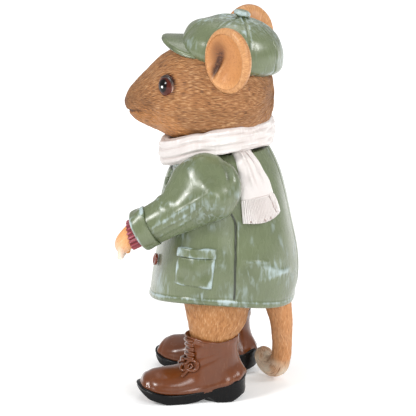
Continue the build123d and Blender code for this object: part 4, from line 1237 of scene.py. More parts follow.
    def lapel(self) -> Skin:
        """Left lapel: a slab between the closing line and a notched outer edge."""
        up = np.linspace(0, 1, 60)[:, None]
        outer = np.interp(up[:, 0], *np.transpose(self.lapel_edge))[:, None]
        share = np.linspace(0, 1, 36)[None, :]
        x = self.lapel_width * (0.04 + (outer - 0.04) * share)
        z = self.lapel_foot + self.lapel_rise * up
        grid = self.front_points(x, z)
        skin = slab(grid, self.inward(grid), 1.5)
        skin.relief = 0.35 * skin.relief - 0.12
        return skin

    def collar(self) -> Skin:
        """Collar: a slab that follows the front of the coat under the scarf."""
        turn = np.radians(np.linspace(-66, 66, 90))[:, None]
        rise = np.linspace(0, 1, 24)[None, :]
        low = self.collar_foot + 0.20 * self.front * (1 - np.cos(turn))
        z = low + (self.top_z - low) * rise
        most = 0.92 * self.reach(z)[2]
        x = np.clip(self.collar_reach * np.sin(turn), -most, most) * (1 - 0.10 * rise)
        grid = self.front_points(x, z)
        return slab(grid, self.inward(grid), 1.8)

    def button(self, x: float, z: float) -> Skin:
        """One dished button: a revolved profile with a raised rim and four thread dents."""
        point = self.front_points(x, z)
        polar = np.linspace(0, 1, 44)[:, None]
        angle = angles(64)
        radius = self.button_radius * np.interp(polar, *np.transpose(self.button_plan))
        u, v = radius * np.cos(angle), radius * np.sin(angle)
        dents = sum(dab(u, v, (a, b), (0.32, 0.32)) for a in (-0.6, 0.6) for b in (-0.6, 0.6)) * (polar < 0.4)
        depth = np.interp(polar, *np.transpose(self.button_depth)) - 0.6 * dents
        skin = Skin(point + on_axes(stacked(u, v, depth), facing_axes(-self.inward(point[None])[0])))
        skin.relief = -0.9 * dents + 0.3 * hump(polar - 0.48, 0.1)
        return skin

    def dress(self, shop: Workshop) -> None:
        """Make the coat and what is sewn on it."""
        shop.piece("coat_shell", [self.body()], SAGE, "coat_body")
        pocket, flap = self.pocket()
        lapel = self.lapel()
        for side in ("left", "right"):
            put = [s if side == "left" else s.mirrored() for s in (pocket, flap, lapel)]
            shop.piece(f"pocket_{side}", [put[0]], SAGE, f"{side}_pocket")
            shop.piece(f"flap_{side}", [put[1]], SAGE, f"{side}_pocket_flap")
            shop.piece(f"lapel_{side}", [put[2]], SAGE, f"{side}_lapel")
        shop.piece("collar_fold", [self.collar()], SAGE, "coat_collar")
        buttons = [self.button(x, z) for z in self.button_levels for x in (-self.button_x, self.button_x)]
        shop.piece("buttons", buttons, BUTTON, "coat_buttons")


@dataclass
class Scarf:
    """Folded band round the neck with one end behind the left shoulder and one on the chest."""

    coat: Coat
    half_width: float = 25.6
    half_length: float = 22.6
    y: float = 2.0
    z: float = 113.0
    tilt_rise: float = 9.8
    shoulder_rise: float = 3.0
    band_height: float = 11.4
    band_thickness: float = 6.4
    edge_shares: tuple = (0.0, 0.25, 0.62, 1.0)
    left_edge: tuple = ((-6.0, 112.6), (-6.6, 106.0), (-8.0, 94.6), (-8.7, 82.0))
    right_edge: tuple = ((2.6, 111.8), (5.2, 105.0), (8.8, 95.0), (12.0, 84.8))
    end_folds: tuple = ((1.0, 0.26, 0.05), (-0.8, 0.38, 0.05), (0.8, 0.55, 0.06), (-0.5, 0.70, 0.05))
    fringe_at: float = 0.70
    knots: tuple = (0.13, 0.47, 0.62)
    chest_x: tuple = (-24.2, -15.0)
    chest_z: tuple = (88.0, 106.5)

    def band(self) -> Skin:
        """Band.

        Formula: a closed path round the neck, tilted up to the back, carries a tall superellipse;
        pleats are waves of the section's angle whose phase drifts along the path.
        """
        turn = angles(420, -np.pi).T
        angle = angles(120)
        across, ahead = np.sin(turn), -np.cos(turn)
        middle = stacked(self.half_width * across, self.y + self.half_length * ahead,
                         self.z + self.tilt_rise / 2 * ahead + self.shoulder_rise * across ** 2)
        outward = unit(stacked(self.half_length * across, self.half_width * ahead, 0.0))
        c, s = superellipse(angle, 2.7)
        share = (turn + np.pi) / TURN
        drift = lattice(share, 0.0, (9, 3), 51) * 1.1 + lattice(share, 0.0, (23, 3), 52) * 0.35
        level = s + 0.10 * drift
        pleat = (np.sin(level * 8.3 + 1.2 * drift + 0.7) * 0.62
                 + np.sin(level * 17.0 - 2.1 * drift + 2.0 * lattice(share, 0.0, (14, 3), 53)) * 0.34)
        pinch = 1 - 0.10 * hump(np.abs(turn) - 1.45, 0.10)
        wide, high = 0.50 * self.band_thickness * pinch, 0.5 * self.band_height * (1 + 0.05 * drift) * pinch
        points = middle + (wide * c)[..., None] * outward + (high * s)[..., None] * np.array((0.0, 0.0, 1.0))
        skin = Skin(points, ring=True)
        outer = ease(-0.25, 0.35, c)
        step = bells(turn, ((1.0, 1.70, 0.018), (-0.6, 1.75, 0.02)))
        skin.raised((0.62 * pleat + 0.15 * step) * outer)
        skin.relief += (0.55 * pleat - 0.12 * np.abs(step) + 0.10) * outer
        return skin

    def end_grid(self, rows: Array, columns: int) -> Array:
        """Base points of the end behind the shoulder, between its left and right edges, cast onto the coat."""
        edges = (self.left_edge, self.right_edge)
        left, right = (curve_through(self.edge_shares, edge, rows)[:, None] for edge in edges)
        share = np.linspace(0, 1, columns)[None, :, None]
        flat = left + (right - left) * share
        bow = np.sin(np.pi * share[..., 0]) * -1.9 * ease(0.8, 1.0, rows)[:, None]
        facing = np.array((np.sqrt(0.5), np.sqrt(0.5), 0.0))
        sideways = np.array((-np.sqrt(0.5), np.sqrt(0.5), 0.0))
        origins = flat[..., :1] * sideways + np.array((0.0, 0.0, 1.0)) * (flat[..., 1] + bow)[..., None]
        return cast(origins, np.broadcast_to(facing, origins.shape), self.coat.field, 60.0)

    def hanging(self) -> Skin:
        """The end behind the left shoulder: a pleated slab with a stitched line, a ribbed fringe and its split."""
        columns = 150
        rows = np.linspace(1.0, 0.0, 150)
        grid = self.end_grid(rows, columns)
        cloth = slab(grid, self.coat.inward(grid), 2.3, rows_round=False)
        share, face = there_and_back(columns)
        down = rows[:, None]
        lean = share - 0.10 * down
        fold = bells(lean, self.end_folds) * (1 - ease(0.45, 0.66, down))
        slit = hump(share - 0.56 - 0.75 * (down - 0.12), 0.030) * hump(down - 0.15, 0.09)
        line = hump(down - self.fringe_at, 0.010)
        fringe = ease(self.fringe_at, self.fringe_at + 0.03, down)
        ribs = np.sin(share * 26 * TURN + 1.2 * np.sin(down * 9 + share * 5)) * fringe
        bend = 0.10 * ((down - self.fringe_at) / (1 - self.fringe_at)) ** 2
        split = (hump(share - 0.76 - bend, 0.022) + hump(share - 0.90 + bend, 0.022)) * fringe
        split = split * (1 - ease(0.94, 0.97, down))
        knots = sum(hump(np.hypot((share - a) * 20, (down - 0.975) * 28), 0.30) for a in self.knots)
        soft = ripple(cloth.points, 9.0, 61)
        cloth.raised((0.55 * fold - 1.0 * slit - 0.30 * line + 0.20 * ribs - 1.1 * split - 0.9 * knots
                      + 0.16 * soft) * face)
        cloth.relief += (0.35 * fold - 1.3 * slit - 0.45 * line + 0.30 * ribs - 0.14 * fringe - 0.75 * split
                         - 2.5 * knots + 0.1) * face
        return cloth

    def chest(self) -> Skin:
        """The shorter end on the right of the chest."""
        rows, columns = 50, 40
        x = np.linspace(*self.chest_x, columns)[None, :]
        z = np.linspace(*self.chest_z, rows)[:, None]
        grid = self.coat.front_points(x, z)
        skin = slab(grid, self.coat.inward(grid), 2.1)
        share, face = there_and_back(columns)
        ribs = np.sin(share * 60) * (1 - ease(0.18, 0.22, np.linspace(0, 1, rows)))[:, None]
        skin.raised(0.22 * ribs * face)
        skin.relief += 0.3 * ribs
        return skin

    def dress(self, shop: Workshop) -> None:
        """Make the band and both ends."""
        shop.piece("scarf_band", [self.band()], SCARF, "scarf_wrap")
        shop.piece("scarf_tail", [self.hanging()], SCARF, "scarf_end_back")
        shop.piece("scarf_chest", [self.chest()], SCARF, "scarf_end_front")


@dataclass
class Arm:
    """One sleeve with its turned-up cuff, knitted cuff and paw."""

    side: str
    elbow: tuple
    wrist: tuple
    droop: float
    roll: float
    upper_centre: tuple = (31.8, 0.6, 98.9)
    upper_radii: tuple = (9.8, 15.2, 14.2)
    upper_lean: float = 17.0
    half_thickness: float = 9.2
    half_height: float = 9.9
    wrist_share: float = 0.88
    cuff_width: float = 7.3
    cuff_loop: tuple = ((0.25, 0.0), (1.2, 0.15), (4.0, 0.25), (6.3, 0.1), (7.1, -0.5), (7.3, -1.4), (6.8, -2.2),
                        (4.0, -2.0), (1.0, -1.4), (0.0, -0.9), (0.25, 0.0))
    cuff_lap: float = 2.2
    cuff_step: float = 0.8
    knit_reach: float = 3.6
    knit_slant: float = 14.0
    knit_half: tuple = (6.4, 6.2)
    knit_ribs: int = 20
    palm_radii: tuple = (5.3, 4.2, 5.8)
    wrist_radius: float = 4.6
    long_folds: tuple = ((1.0, 2.6, 1.1), (0.9, -0.4, 0.9), (0.8, -3.2, 1.0))
    elbow_folds: tuple = ((1.0, 17.5, 1.5), (0.8, 22.0, 1.3))
    fold_shift: float = 2.0
    fingers: int = 4
    finger_gap: float = 2.3
    finger_radius: float = 1.45
    thumb_radius: float = 1.3
    round_rows: int = 100
    straight_rows: int = 120
    columns: int = 220

    def __post_init__(self) -> None:
        """Work out the arm's own directions."""
        self.hand = 1.0 if self.side == "left" else -1.0
        self.start, self.end = np.array(self.elbow, float), np.array(self.wrist, float)
        self.along = unit(self.end - self.start)
        self.across = unit(np.array((1.0, 0.0, 0.0)) - self.along * self.along[0])
        self.up = np.cross(self.along, self.across)

    def field(self, points: Array) -> Array:
        """Sleeve: the smooth union of a leaning ellipsoid and a tapering round forearm."""
        centre = np.array(self.upper_centre) * (self.hand, 1, 1)
        axes = turned("Y", -self.hand * self.upper_lean).T
        upper = ball_field(points, centre, self.upper_radii, axes)
        offset = points - self.start
        travel = offset @ self.along
        length = np.linalg.norm(self.end - self.start)
        size = 1 + (self.wrist_share - 1) * np.clip(travel / length, 0, 1)
        wide, high = self.half_thickness * size, self.half_height * size
        radial = np.hypot((offset @ self.across) / wide, (offset @ self.up) / high)
        behind = np.minimum(travel, 0) / self.half_height
        lower = (np.hypot(radial, behind) - 1) * wide
        return melt(upper, lower, 6.5)

    def sleeve(self) -> Skin:
        """Sleeve, cast by rays: all round from a point in the upper arm, then straight out from the forearm's axis."""
        start = self.start * 0.6 + np.array(self.upper_centre) * (self.hand, 1, 1) * 0.4
        travel, polar = np.zeros((2, self.round_rows + self.straight_rows, 1, 1))
        travel[self.round_rows:, 0, 0] = np.linspace(0, 1, self.straight_rows)
        polar[:self.round_rows, 0, 0] = np.linspace(-1.54, 0, self.round_rows + 1)[:-1]
        angle = angles(self.columns)[..., None]
        axis = unit(self.end - start)
        across = unit(np.array((1.0, 0.0, 0.0)) - axis * axis[0])
        radial = np.cos(angle) * across + np.sin(angle) * np.cross(axis, across)
        directions = np.cos(polar) * radial + np.sin(polar) * axis
        origins = np.broadcast_to(start + travel * (self.end - start), directions.shape)
        skin = Skin(cast(origins, directions, self.field, 40.0))
        self.crease(skin)
        return skin

    def crease(self, skin: Skin) -> None:
        """Press folds into the sleeve: long ones toward the cuff, a curved one at the shoulder, pulls at the elbow."""
        points = skin.points
        offset = points - self.start
        travel, side, high = offset @ self.along, offset @ self.across * self.hand, offset @ self.up
        outside = ease(-2, 4, side)
        forearm = between((-4, 6), (27, 31), travel)
        long_folds = bells(high + 0.10 * travel, self.long_folds) * forearm
        y, z = points[..., 1], points[..., 2]
        if self.side == "right":
            y = y + self.fold_shift
        shoulder = hump(np.hypot(y + 8.0, z - 95.5) - 22.6, 0.8) * between((101.5, 105), (110, 112), z)
        pulls = hump(z - 103 + 0.85 * (y + 2), 1.5) * between((-14, -8), (-4, 2), y)
        crook = bells(travel, self.elbow_folds) * ease(3.5, 8.5, high * np.sign(self.up[2] + 1e-6))
        soft = ripple(points, 15.0, 71)
        height = (0.38 * long_folds * outside - 0.50 * shoulder + 0.06 * pulls + 0.50 * crook
                  + 0.26 * soft - 0.2 * forearm - 0.95 * ease(0, 6, side))
        skin.raised(height)
        skin.relief += (0.42 * long_folds * outside - 0.45 * shoulder + 0.06 * pulls + 0.35 * crook - 0.1
                        + 0.25 * np.clip(soft, -0.2, 1))

    def oval_grid(self, start: float, profile: Array, columns: int = 120) -> Array:
        """Rings round the forearm: each row of the profile is a distance along and two half sizes."""
        angle = angles(columns)
        travel, wide, high = profile.T[..., None]
        return (self.end + (start + travel)[..., None] * self.along
                + (wide * np.cos(angle))[..., None] * self.across + (high * np.sin(angle))[..., None] * self.up)

    def cuff(self) -> Skin:
        """Turned-up cuff: a closed ring whose section is a rounded band."""
        wide = self.half_thickness * self.wrist_share + self.cuff_step
        high = self.half_height * self.wrist_share + self.cuff_step
        loop = np.array(self.cuff_loop)
        at = np.linspace(0, len(loop) - 1, 61)[:-1]
        travel, stand = curve_through(np.arange(len(loop)), loop, at).T
        flare = 1 - 0.06 * np.clip(travel / self.cuff_width, 0, 1)
        profile = stacked(travel, wide * flare + stand, high * flare + stand)
        skin = Skin(self.oval_grid(-self.cuff_lap, profile), ring=True)
        soft = ripple(skin.points, 9.0, 81)
        skin.raised(0.18 * soft)
        edge = hump(travel - 0.4, 0.7) * (stand > -0.6) + 0.7 * hump(travel - self.cuff_width + 0.3, 0.7)
        skin.relief += edge[:, None] * (0.42 + 0.35 * soft) + 0.25 * np.clip(soft, -0.2, 1)
        return skin

    def knit(self) -> Skin:
        """Knitted cuff: ribbed rings that lean back at the top and close at the end."""
        length = self.cuff_width - self.cuff_lap + self.knit_reach
        rows = np.linspace(0, 1, 40)
        travel = 0.4 + (length - 0.4) * np.clip(rows * 1.12, 0, 1)
        shrink = 1 - 0.45 * ease(0.90, 1.0, rows)
        wide, high = self.knit_half
        angle = angles(216)
        points = self.oval_grid(0.0, stacked(travel, wide * shrink, high * shrink), angle.size)
        lean = -np.tan(np.radians(self.knit_slant)) * (rows * shrink)[:, None] * high * np.sin(angle)
        skin = Skin(points + lean[..., None] * self.along)
        ribs = np.cos(angle * self.knit_ribs) * (1 - ease(0.90, 0.97, rows))[:, None]
        purl = 0.5 + 0.5 * np.cos(rows * 60)[:, None]
        skin.raised(0.34 * ribs + 0.10 * purl * (ribs > 0))
        skin.relief += 0.55 * ribs + 0.1 * purl
        return skin

    def paw(self) -> list[Skin]:
        """Paw: a palm blended from balls, with four fingers and a thumb as tapering tubes."""
        tip = self.end + self.along * (self.cuff_width - self.cuff_lap + self.knit_reach - 0.6)
        bend = np.radians(self.droop)
        side = np.array(Matrix.Rotation(np.radians(self.roll), 3, self.along.tolist())) @ self.across
        down = np.cross(side, self.along)
        forward = unit(np.cos(bend * 0.45) * self.along + np.sin(bend * 0.45) * down)
        palm = tip + forward * 2.6 + self.along * 1.6
        normal = np.cross(side, forward)
        axes = np.stack([side, normal, forward])
        directions = on_axes(ball_grid(60, 80, 0.03), axes)

        def hand_form(points: Array) -> Array:
            """Palm and wrist, melted together."""
            wrist_field = ball_field(points, tip - self.along * 1.5, (self.wrist_radius,) * 3)
            return melt(ball_field(points, palm, self.palm_radii, axes), wrist_field, 3.0)

        hand = Skin(cast(np.broadcast_to(palm, directions.shape), directions, hand_form, 20.0))
        hand.tone = 0.35 * ease(-2.0, 5.0, (hand.points - palm) @ forward)
        far = unit(np.cos(bend) * self.along + np.sin(bend) * down)
        return [hand, *self.digits(palm, side, normal, forward, far)]

    def digits(self, palm: Array, side: Array, normal: Array, forward: Array, far: Array) -> list[Skin]:
        """Fingers and thumb, which leave the palm forward and bend to the far direction."""
        skins = []
        for number in range(self.fingers):
            root = palm + side * (number - (self.fingers - 1) / 2) * self.finger_gap + forward * 2.0
            travel = np.linspace(0, 1, 18)[:, None]
            path = root + forward * 2.2 * travel + (far * 3.2 - forward * 0.6) * travel ** 1.6
            path, radii = rounded_ends(path, self.finger_radius)
            radii[6:-5] *= np.linspace(1.12, 0.86, len(radii) - 11)
            skins.append(tube(path, radii, tuple(side), 18))
            skins[-1].tone = skins[-1].tone + np.linspace(0.1, 1.0, len(path))[:, None]
        thumb_root = palm - side * self.hand * 3.6 + normal * 0.8
        thumb = thumb_root + np.linspace(0, 1, 14)[:, None] * (far * 3.8 + forward * 1.6 - side * self.hand * 1.2)
        path, radii = rounded_ends(thumb, self.thumb_radius)
        return [*skins, tube(path, radii, tuple(side), 16)]

    def dress(self, shop: Workshop) -> None:
        """Make the sleeve, both cuffs and the paw."""
        shop.piece(f"sleeve_{self.side}", [self.sleeve()], SAGE, f"{self.side}_sleeve")
        shop.piece(f"cuff_{self.side}", [self.cuff()], SAGE, f"{self.side}_sleeve_cuff")
        shop.piece(f"knit_{self.side}", [self.knit()], KNIT, f"{self.side}_knit_cuff")
        shop.piece(f"paw_{self.side}", self.paw(), PAW_SKIN, f"{self.side}_paw")


@dataclass
class Leg:
    """Furry leg with a laced boot on a black sole."""

    x: float = 22.0
    y: float = 5.0
    half_width: float = 12.6
    half_depth: float = 14.9
    foot_z: float = 19.0
    top_z: float = 54.0
    shares: tuple = ((0.00, 0.60), (0.14, 0.66), (0.26, 0.74), (0.42, 0.85), (0.62, 0.95), (0.80, 1.00), (1.00, 0.94))
    boot_y: float = 3.5
    toe_out: float = 12.0
    sole_length: float = 48.6
    heel: float = 14.4
    sole_half: float = 12.6
    tread: float = 11.4
    plan: tuple = ((0.0, 0.0), (0.04, 0.50), (0.16, 0.80), (0.38, 0.78), (0.60, 0.95), (0.78, 1.00), (0.92, 0.76),
                   (1.0, 0.0))
    top_line: tuple = ((0.00, 1.02), (0.12, 0.86), (0.34, 0.55), (0.56, 0.41), (0.76, 0.42), (0.90, 0.54), (1.00, 0.68))
    tread_line: tuple = ((0.0, 0.20), (0.03, 0.16), (0.12, 0.00), (0.27, 0.00), (0.34, 0.22), (0.46, 0.05),
                         (0.56, 0.00), (0.74, 0.00), (0.90, 0.17), (1.00, 0.50))
    foot_shares: tuple = ((0.0, 0.0, 0.80), (0.03, 0.50, 0.86), (0.12, 0.80, 1.00), (0.30, 0.80, 1.12),
                          (0.50, 0.90, 1.08), (0.64, 0.97, 0.95), (0.78, 0.96, 0.89), (0.89, 0.80, 0.80),
                          (0.950, 0.52, 0.67), (0.978, 0.0, 0.50))
    toe_height: float = 15.6
    foot_centre: float = 7.0
    shaft_half: float = 10.4
    shaft_front: float = 12.4
    shaft_back: float = 13.6
    shaft_height: float = 30.6
    shaft_shares: tuple = ((0.20, 0.96, 1.00, 0.82), (0.36, 0.97, 0.98, 0.86), (0.56, 0.95, 0.89, 0.90),
                           (0.77, 0.91, 0.79, 0.92), (0.91, 0.96, 0.82, 0.98), (1.00, 1.02, 0.87, 1.03))
    thinning: float = 1.7
    sole_steps: tuple = ((0.0, 0.02), (0.0, 0.55), (0.0, 0.90), (0.02, 0.965), (0.10, 0.995), (0.25, 1.0),
                         (0.5, 0.995), (0.75, 1.0), (0.88, 1.01), (0.95, 1.0), (1.0, 0.97), (1.0, 0.90), (1.0, 0.5),
                         (1.0, 0.02))
    spine_toe: tuple = (0.0, -26.0, 8.0)
    spine_corner: tuple = (0.0, -15.0, 23.0)
    spine_radius: float = 15.0
    spine_top: tuple = (0.0, 0.0, 29.0)
    toe_rows: int = 44
    rim_z: float = 27.6
    rim_arc: float = 42.0
    rim_rolls: tuple = ((0.985, -0.35), (0.95, -0.5), (0.91, -0.1), (0.87, 1.4), (0.84, 4.0))
    lace_rows: int = 4
    lace_radius: float = 0.68

    def booted(self, local: Array) -> Array:
        """Points of the straight boot turned out at the toe and set under the leg."""
        return local @ turned("Z", self.toe_out).T + (self.x, self.boot_y, 0.0)

    def ledge(self, share: Array) -> Array:
        """Height of the sole's top line at a share of the way from the heel to the toe."""
        return through(self.top_line, share)[..., 0] * self.tread

    def limb(self) -> Skin:
        """Leg: ovals whose size follows the height, with clumps of fur that point down."""
        share, angle = np.linspace(0, 1, 130)[:, None], angles(180)
        size = through(self.shares, share)[..., 0]
        drawn = self.thinning * (1 - ease(0.20, 0.50, share))
        skin = Skin(stacked(self.x + self.half_width * size * np.cos(angle),
                            self.y - drawn + (self.half_depth * size - drawn * 0.6) * np.sin(angle),
                            self.foot_z + (self.top_z - self.foot_z) * share))
        tufts = lattice(share, angle / TURN + 0.02 * np.sin(share * 20), (13, 62), 91)
        clumps = lattice(share, angle / TURN, (7, 26), 92)
        skin.raised(0.20 * tufts + 0.16 * clumps, 1.3)
        # Painted shade: the top of the leg, up under the hem of the coat, takes the darker second colour. The clumps
        # vary it at random.
        skin.tone = np.clip(ease(0.75, 1.0, share) + 0.2 * clumps, 0, 1)
        return skin

    def sole(self) -> Skin:
        """Sole: its plan is closed by mirrored half widths; its sides run from the tread line to the top line."""
        plan, tread, steps = np.array(self.plan), np.array(self.tread_line), np.array(self.sole_steps)
        spread = np.arccos(1 - 2 * plan[:, 0])
        around = angles(200)
        share = (1 - np.cos(around)) / 2
        half = curve_through(spread, plan[:, 1], np.where(around <= np.pi, around, TURN - around)) * self.sole_half
        side = np.where(around <= np.pi, 1.0, -1.0)
        low = np.interp(share, tread[:, 0], tread[:, 1]) * self.tread
        high = self.ledge(share)
        at = np.linspace(0, len(steps) - 1, 70)
        up, inset = np.stack([np.interp(at, np.arange(len(steps)), steps[:, k]) for k in (0, 1)])[..., None]
        y = self.heel - self.sole_length * (0.5 + (share - 0.5) * inset)
        x = half * side * inset
        z = low + (high - low) * up
        skin = Skin(self.booted(stacked(x, y, z)))
        skin.relief += 0.35 * hump(up - 0.93, 0.05)
        return skin

    def boot_form(self, points: Array) -> Array:
        """Boot: the smooth union of a foot whose ovals follow its length and a shaft whose ovals follow its height.

        Below the top line of the sole its walls run straight down, and a flat floor closes it.
        """
        x, y, z = np.moveaxis(points, -1, 0)
        share = (self.heel - y) / self.sole_length
        floor = self.ledge(share)
        level = np.maximum(z, floor)
        sizes = through(self.foot_shares, share)
        half, top = sizes[..., 0] * self.sole_half - 1.0, sizes[..., 1] * self.toe_height
        beyond = np.maximum(np.maximum(0.02 - share, share - 0.950), 0) * self.sole_length
        high = np.maximum(top - self.foot_centre, 1.0)
        lift = np.maximum(level - self.foot_centre, 0) / high
        foot = (np.hypot(x / np.maximum(half, 0.6), lift) - 1) * np.minimum(high, 6.0) + beyond
        sizes = through(self.shaft_shares, np.clip(level / self.shaft_height, 0.2, 1.0))
        front, back = sizes[..., 0] * self.shaft_front, sizes[..., 1] * self.shaft_back
        middle, deep = (back - front) / 2, (front + back) / 2
        shaft = (np.hypot(x / (sizes[..., 2] * self.shaft_half), (y - middle) / deep) - 1) * 9.0
        shaft = np.maximum(shaft, z - self.shaft_height - 1.0)
        return np.maximum(melt(foot, shaft, 3.4), floor - 1.2 - z)

    def spine(self) -> tuple[Array, Array]:
        """Points inside the boot, and the way ahead at each: from the toe to the ankle and up into the shaft."""
        turn = np.linspace(0, np.pi / 2, 60)
        arc = np.array(self.spine_corner) + self.spine_radius * stacked(0.0, np.sin(turn), -np.cos(turn))
        foot = np.linspace(self.spine_toe, arc[0], 36)[:-1]
        shaft = np.linspace(arc[-1], self.spine_top, 30)[1:]
        spine = np.concatenate([np.repeat(foot[:1], self.toe_rows, 0), foot, arc, shaft])
        along = np.concatenate([np.repeat([[0.0, 1.0, 0.0]], self.toe_rows + len(foot), 0),
                                stacked(0.0, np.cos(turn), np.sin(turn)),
                                np.repeat([[0.0, 0.0, 1.0]], len(shaft), 0)])
        return spine, along

    def boot(self) -> Skin:
        """Boot upper, cast by rays from a spine that runs from the toe and turns up into the shaft."""
        spine, along = self.spine()
        tip = np.zeros((len(spine), 1, 1))
        tip[:self.toe_rows, 0, 0] = np.linspace(-1.53, 0, self.toe_rows + 1)[:-1]
        side = np.array((1.0, 0.0, 0.0))
        angle = angles(168, -np.pi / 2)[..., None]
        radial = np.cos(angle) * side + np.sin(angle) * np.cross(side, along)[:, None]
        directions = unit(np.cos(tip) * radial + np.sin(tip) * along[:, None])
        origins = np.broadcast_to(spine[:, None], directions.shape)
        skin = self.rimmed(cast(origins, directions, self.boot_form, 26.0))
        self.stitch(skin)
        skin.points = self.booted(skin.points)
        return skin

    def rimmed(self, points: Array) -> Skin:
        """Dip the rim of the upper at the ankles and roll it inward."""
        x, y, z = np.moveaxis(points, -1, 0)
        dip = self.rim_z + self.rim_arc - np.sqrt(np.maximum(self.rim_arc ** 2 - (y - 0.5) ** 2, 1))
        dip = dip + 1.9 * hump(y + 12.5, 2.6)
        y = y - 1.5 * hump(y + 13.0, 3.0) * ease(27.5, 31.0, z)
        points = stacked(x, y, np.minimum(z, dip))
        rim = points[-1:]
        centre = rim.mean(1, keepdims=True)
        inner = [centre + (rim - centre) * size - np.array((0, 0, drop)) for size, drop in self.rim_rolls]
        return Skin(np.concatenate([points, *inner]))

    def stitch(self, skin: Skin) -> None:
        """Welt, wrinkles at the ankle, the edge of the tongue and a roll near the rim, on the straight boot."""
        x, y, z = np.moveaxis(skin.points, -1, 0)
        welt = hump(z - self.ledge((self.heel - y) / self.sole_length) - 0.9, 0.8)
        flap = hump(np.abs(x) - 5.2 - 0.02 * (z - 18) ** 2, 0.45) * (y < -4) * ease(15, 18, z) * ease(-17, -13, y)
        creases = hump(z - 17.0 - 0.5 * (y + 6), 0.9) + hump(z - 20.6 - 0.35 * (y + 6), 0.8)
        creases = creases * between((-13, -8), (-2, 6), y)
        roll = hump(z - 27.0, 1.2) * ease(5, 9, np.abs(x) + np.abs(y) * 0.6)
        soft = ripple(skin.points, 11.0, 101)
        skin.raised(0.38 * welt + 0.30 * flap - 0.168 * creases + 0.35 * roll + 0.14 * soft)
        skin.relief += 0.24 * welt + 0.25 * flap - 0.21 * creases + 0.2 * roll

    def cord(self, turn: Array, level: Array | float, lift: Array | float, radius: float) -> Skin:
        """One lace that lies on the boot.

        Formula: rays leave the shaft's axis at a turn from straight ahead and at a level; the points
        where they meet the boot, raised by the lift, are the middle of the cord.
        """
        directions = stacked(np.sin(turn), -np.cos(turn), 0.0)
        origins = stacked(0 * turn, -4.0, level)
        return self.laid(origins, directions, np.asarray(lift)[..., None], radius)

    def laid(self, origins: Array, directions: Array, lift: Array | float, radius: float) -> Skin:
        """A cord along the points where rays meet the boot, raised by the lift."""
        path, radii = rounded_ends(cast(origins, directions, self.boot_form, 30.0) + directions * lift, radius)
        return tube(path, radii, (0.0, 0.0, 1.0), 12)

    def bow(self, hand: float) -> list[Skin]:
        """One side of the bow: a small ring, a loop, a front lobe and a loose end, cast onto the instep."""
        across, up, out = facing_axes((0.80 * hand, -0.35, 0.45))
        middle = np.array((5.6 * hand, -10.2, 15.6)) - out * 4.0
        around, loose = np.linspace(0, TURN, 44), np.linspace(0, 1, 22)
        wave = stacked(np.cos(around), np.sin(around))
        paths = ((1.05 * wave, 0.50), (wave * (3.0, 2.3) + (0.6, 0.3), 0.75), (1.6 * wave + (-3.0, -0.6), 0.70),
                 (stacked(-0.5 - 2.0 * loose, -1.2 - 3.8 * loose), 0.66))
        skins = []
        for flat, radius in paths:
            origins = middle + flat[:, :1] * hand * across + flat[:, 1:] * up
            skins.append(self.laid(origins, np.broadcast_to(out, origins.shape), 0.35 + 0.4 * radius, radius))
        return skins

    def laces(self) -> list[Skin]:
        """Laces: crossing cords up the tongue, and a bow whose loops and ends are spread over the instep."""
        share, loose = np.linspace(-1, 1, 26), np.linspace(0, 1, 22)
        skins = []
        for row in range(self.lace_rows):
            for hand in (-1, 1):
                lift = 0.45 + 0.35 * (1 - share ** 2) * (hand > 0)
                level = 20.4 + 2.2 * row + 0.75 * hand * share
                skins.append(self.cord(0.85 * share, level, lift, self.lace_radius))
        for hand in (-1, 1):
            skins += self.bow(hand)
            level = 17.9 + 2.6 * loose - 1.4 * loose ** 2
            skins.append(self.cord(hand * (0.12 + 0.75 * loose), level, 0.8, 0.66))
        skins.append(self.cord(np.linspace(-0.16, 0.16, 10), 17.7, 1.1, 1.25))
        for skin in skins:
            skin.points = self.booted(skin.points)
            skin.relief = skin.relief + 0.12
        return skins

    def dress(self, shop: Workshop) -> None:
        """Make both legs, boots, soles and laces."""
        kinds = {"leg": ([self.limb()], LEG_FUR), "boot": ([self.boot()], BOOT), "sole": ([self.sole()], SOLE),
                 "laces": (self.laces(), BOOT)}
        for kind, (skins, finish) in kinds.items():
            shop.piece(f"{kind}_cast_left", skins, finish, f"left_{kind}")
            shop.piece(f"{kind}_cast_right", [s.mirrored() for s in skins], finish, f"right_{kind}")


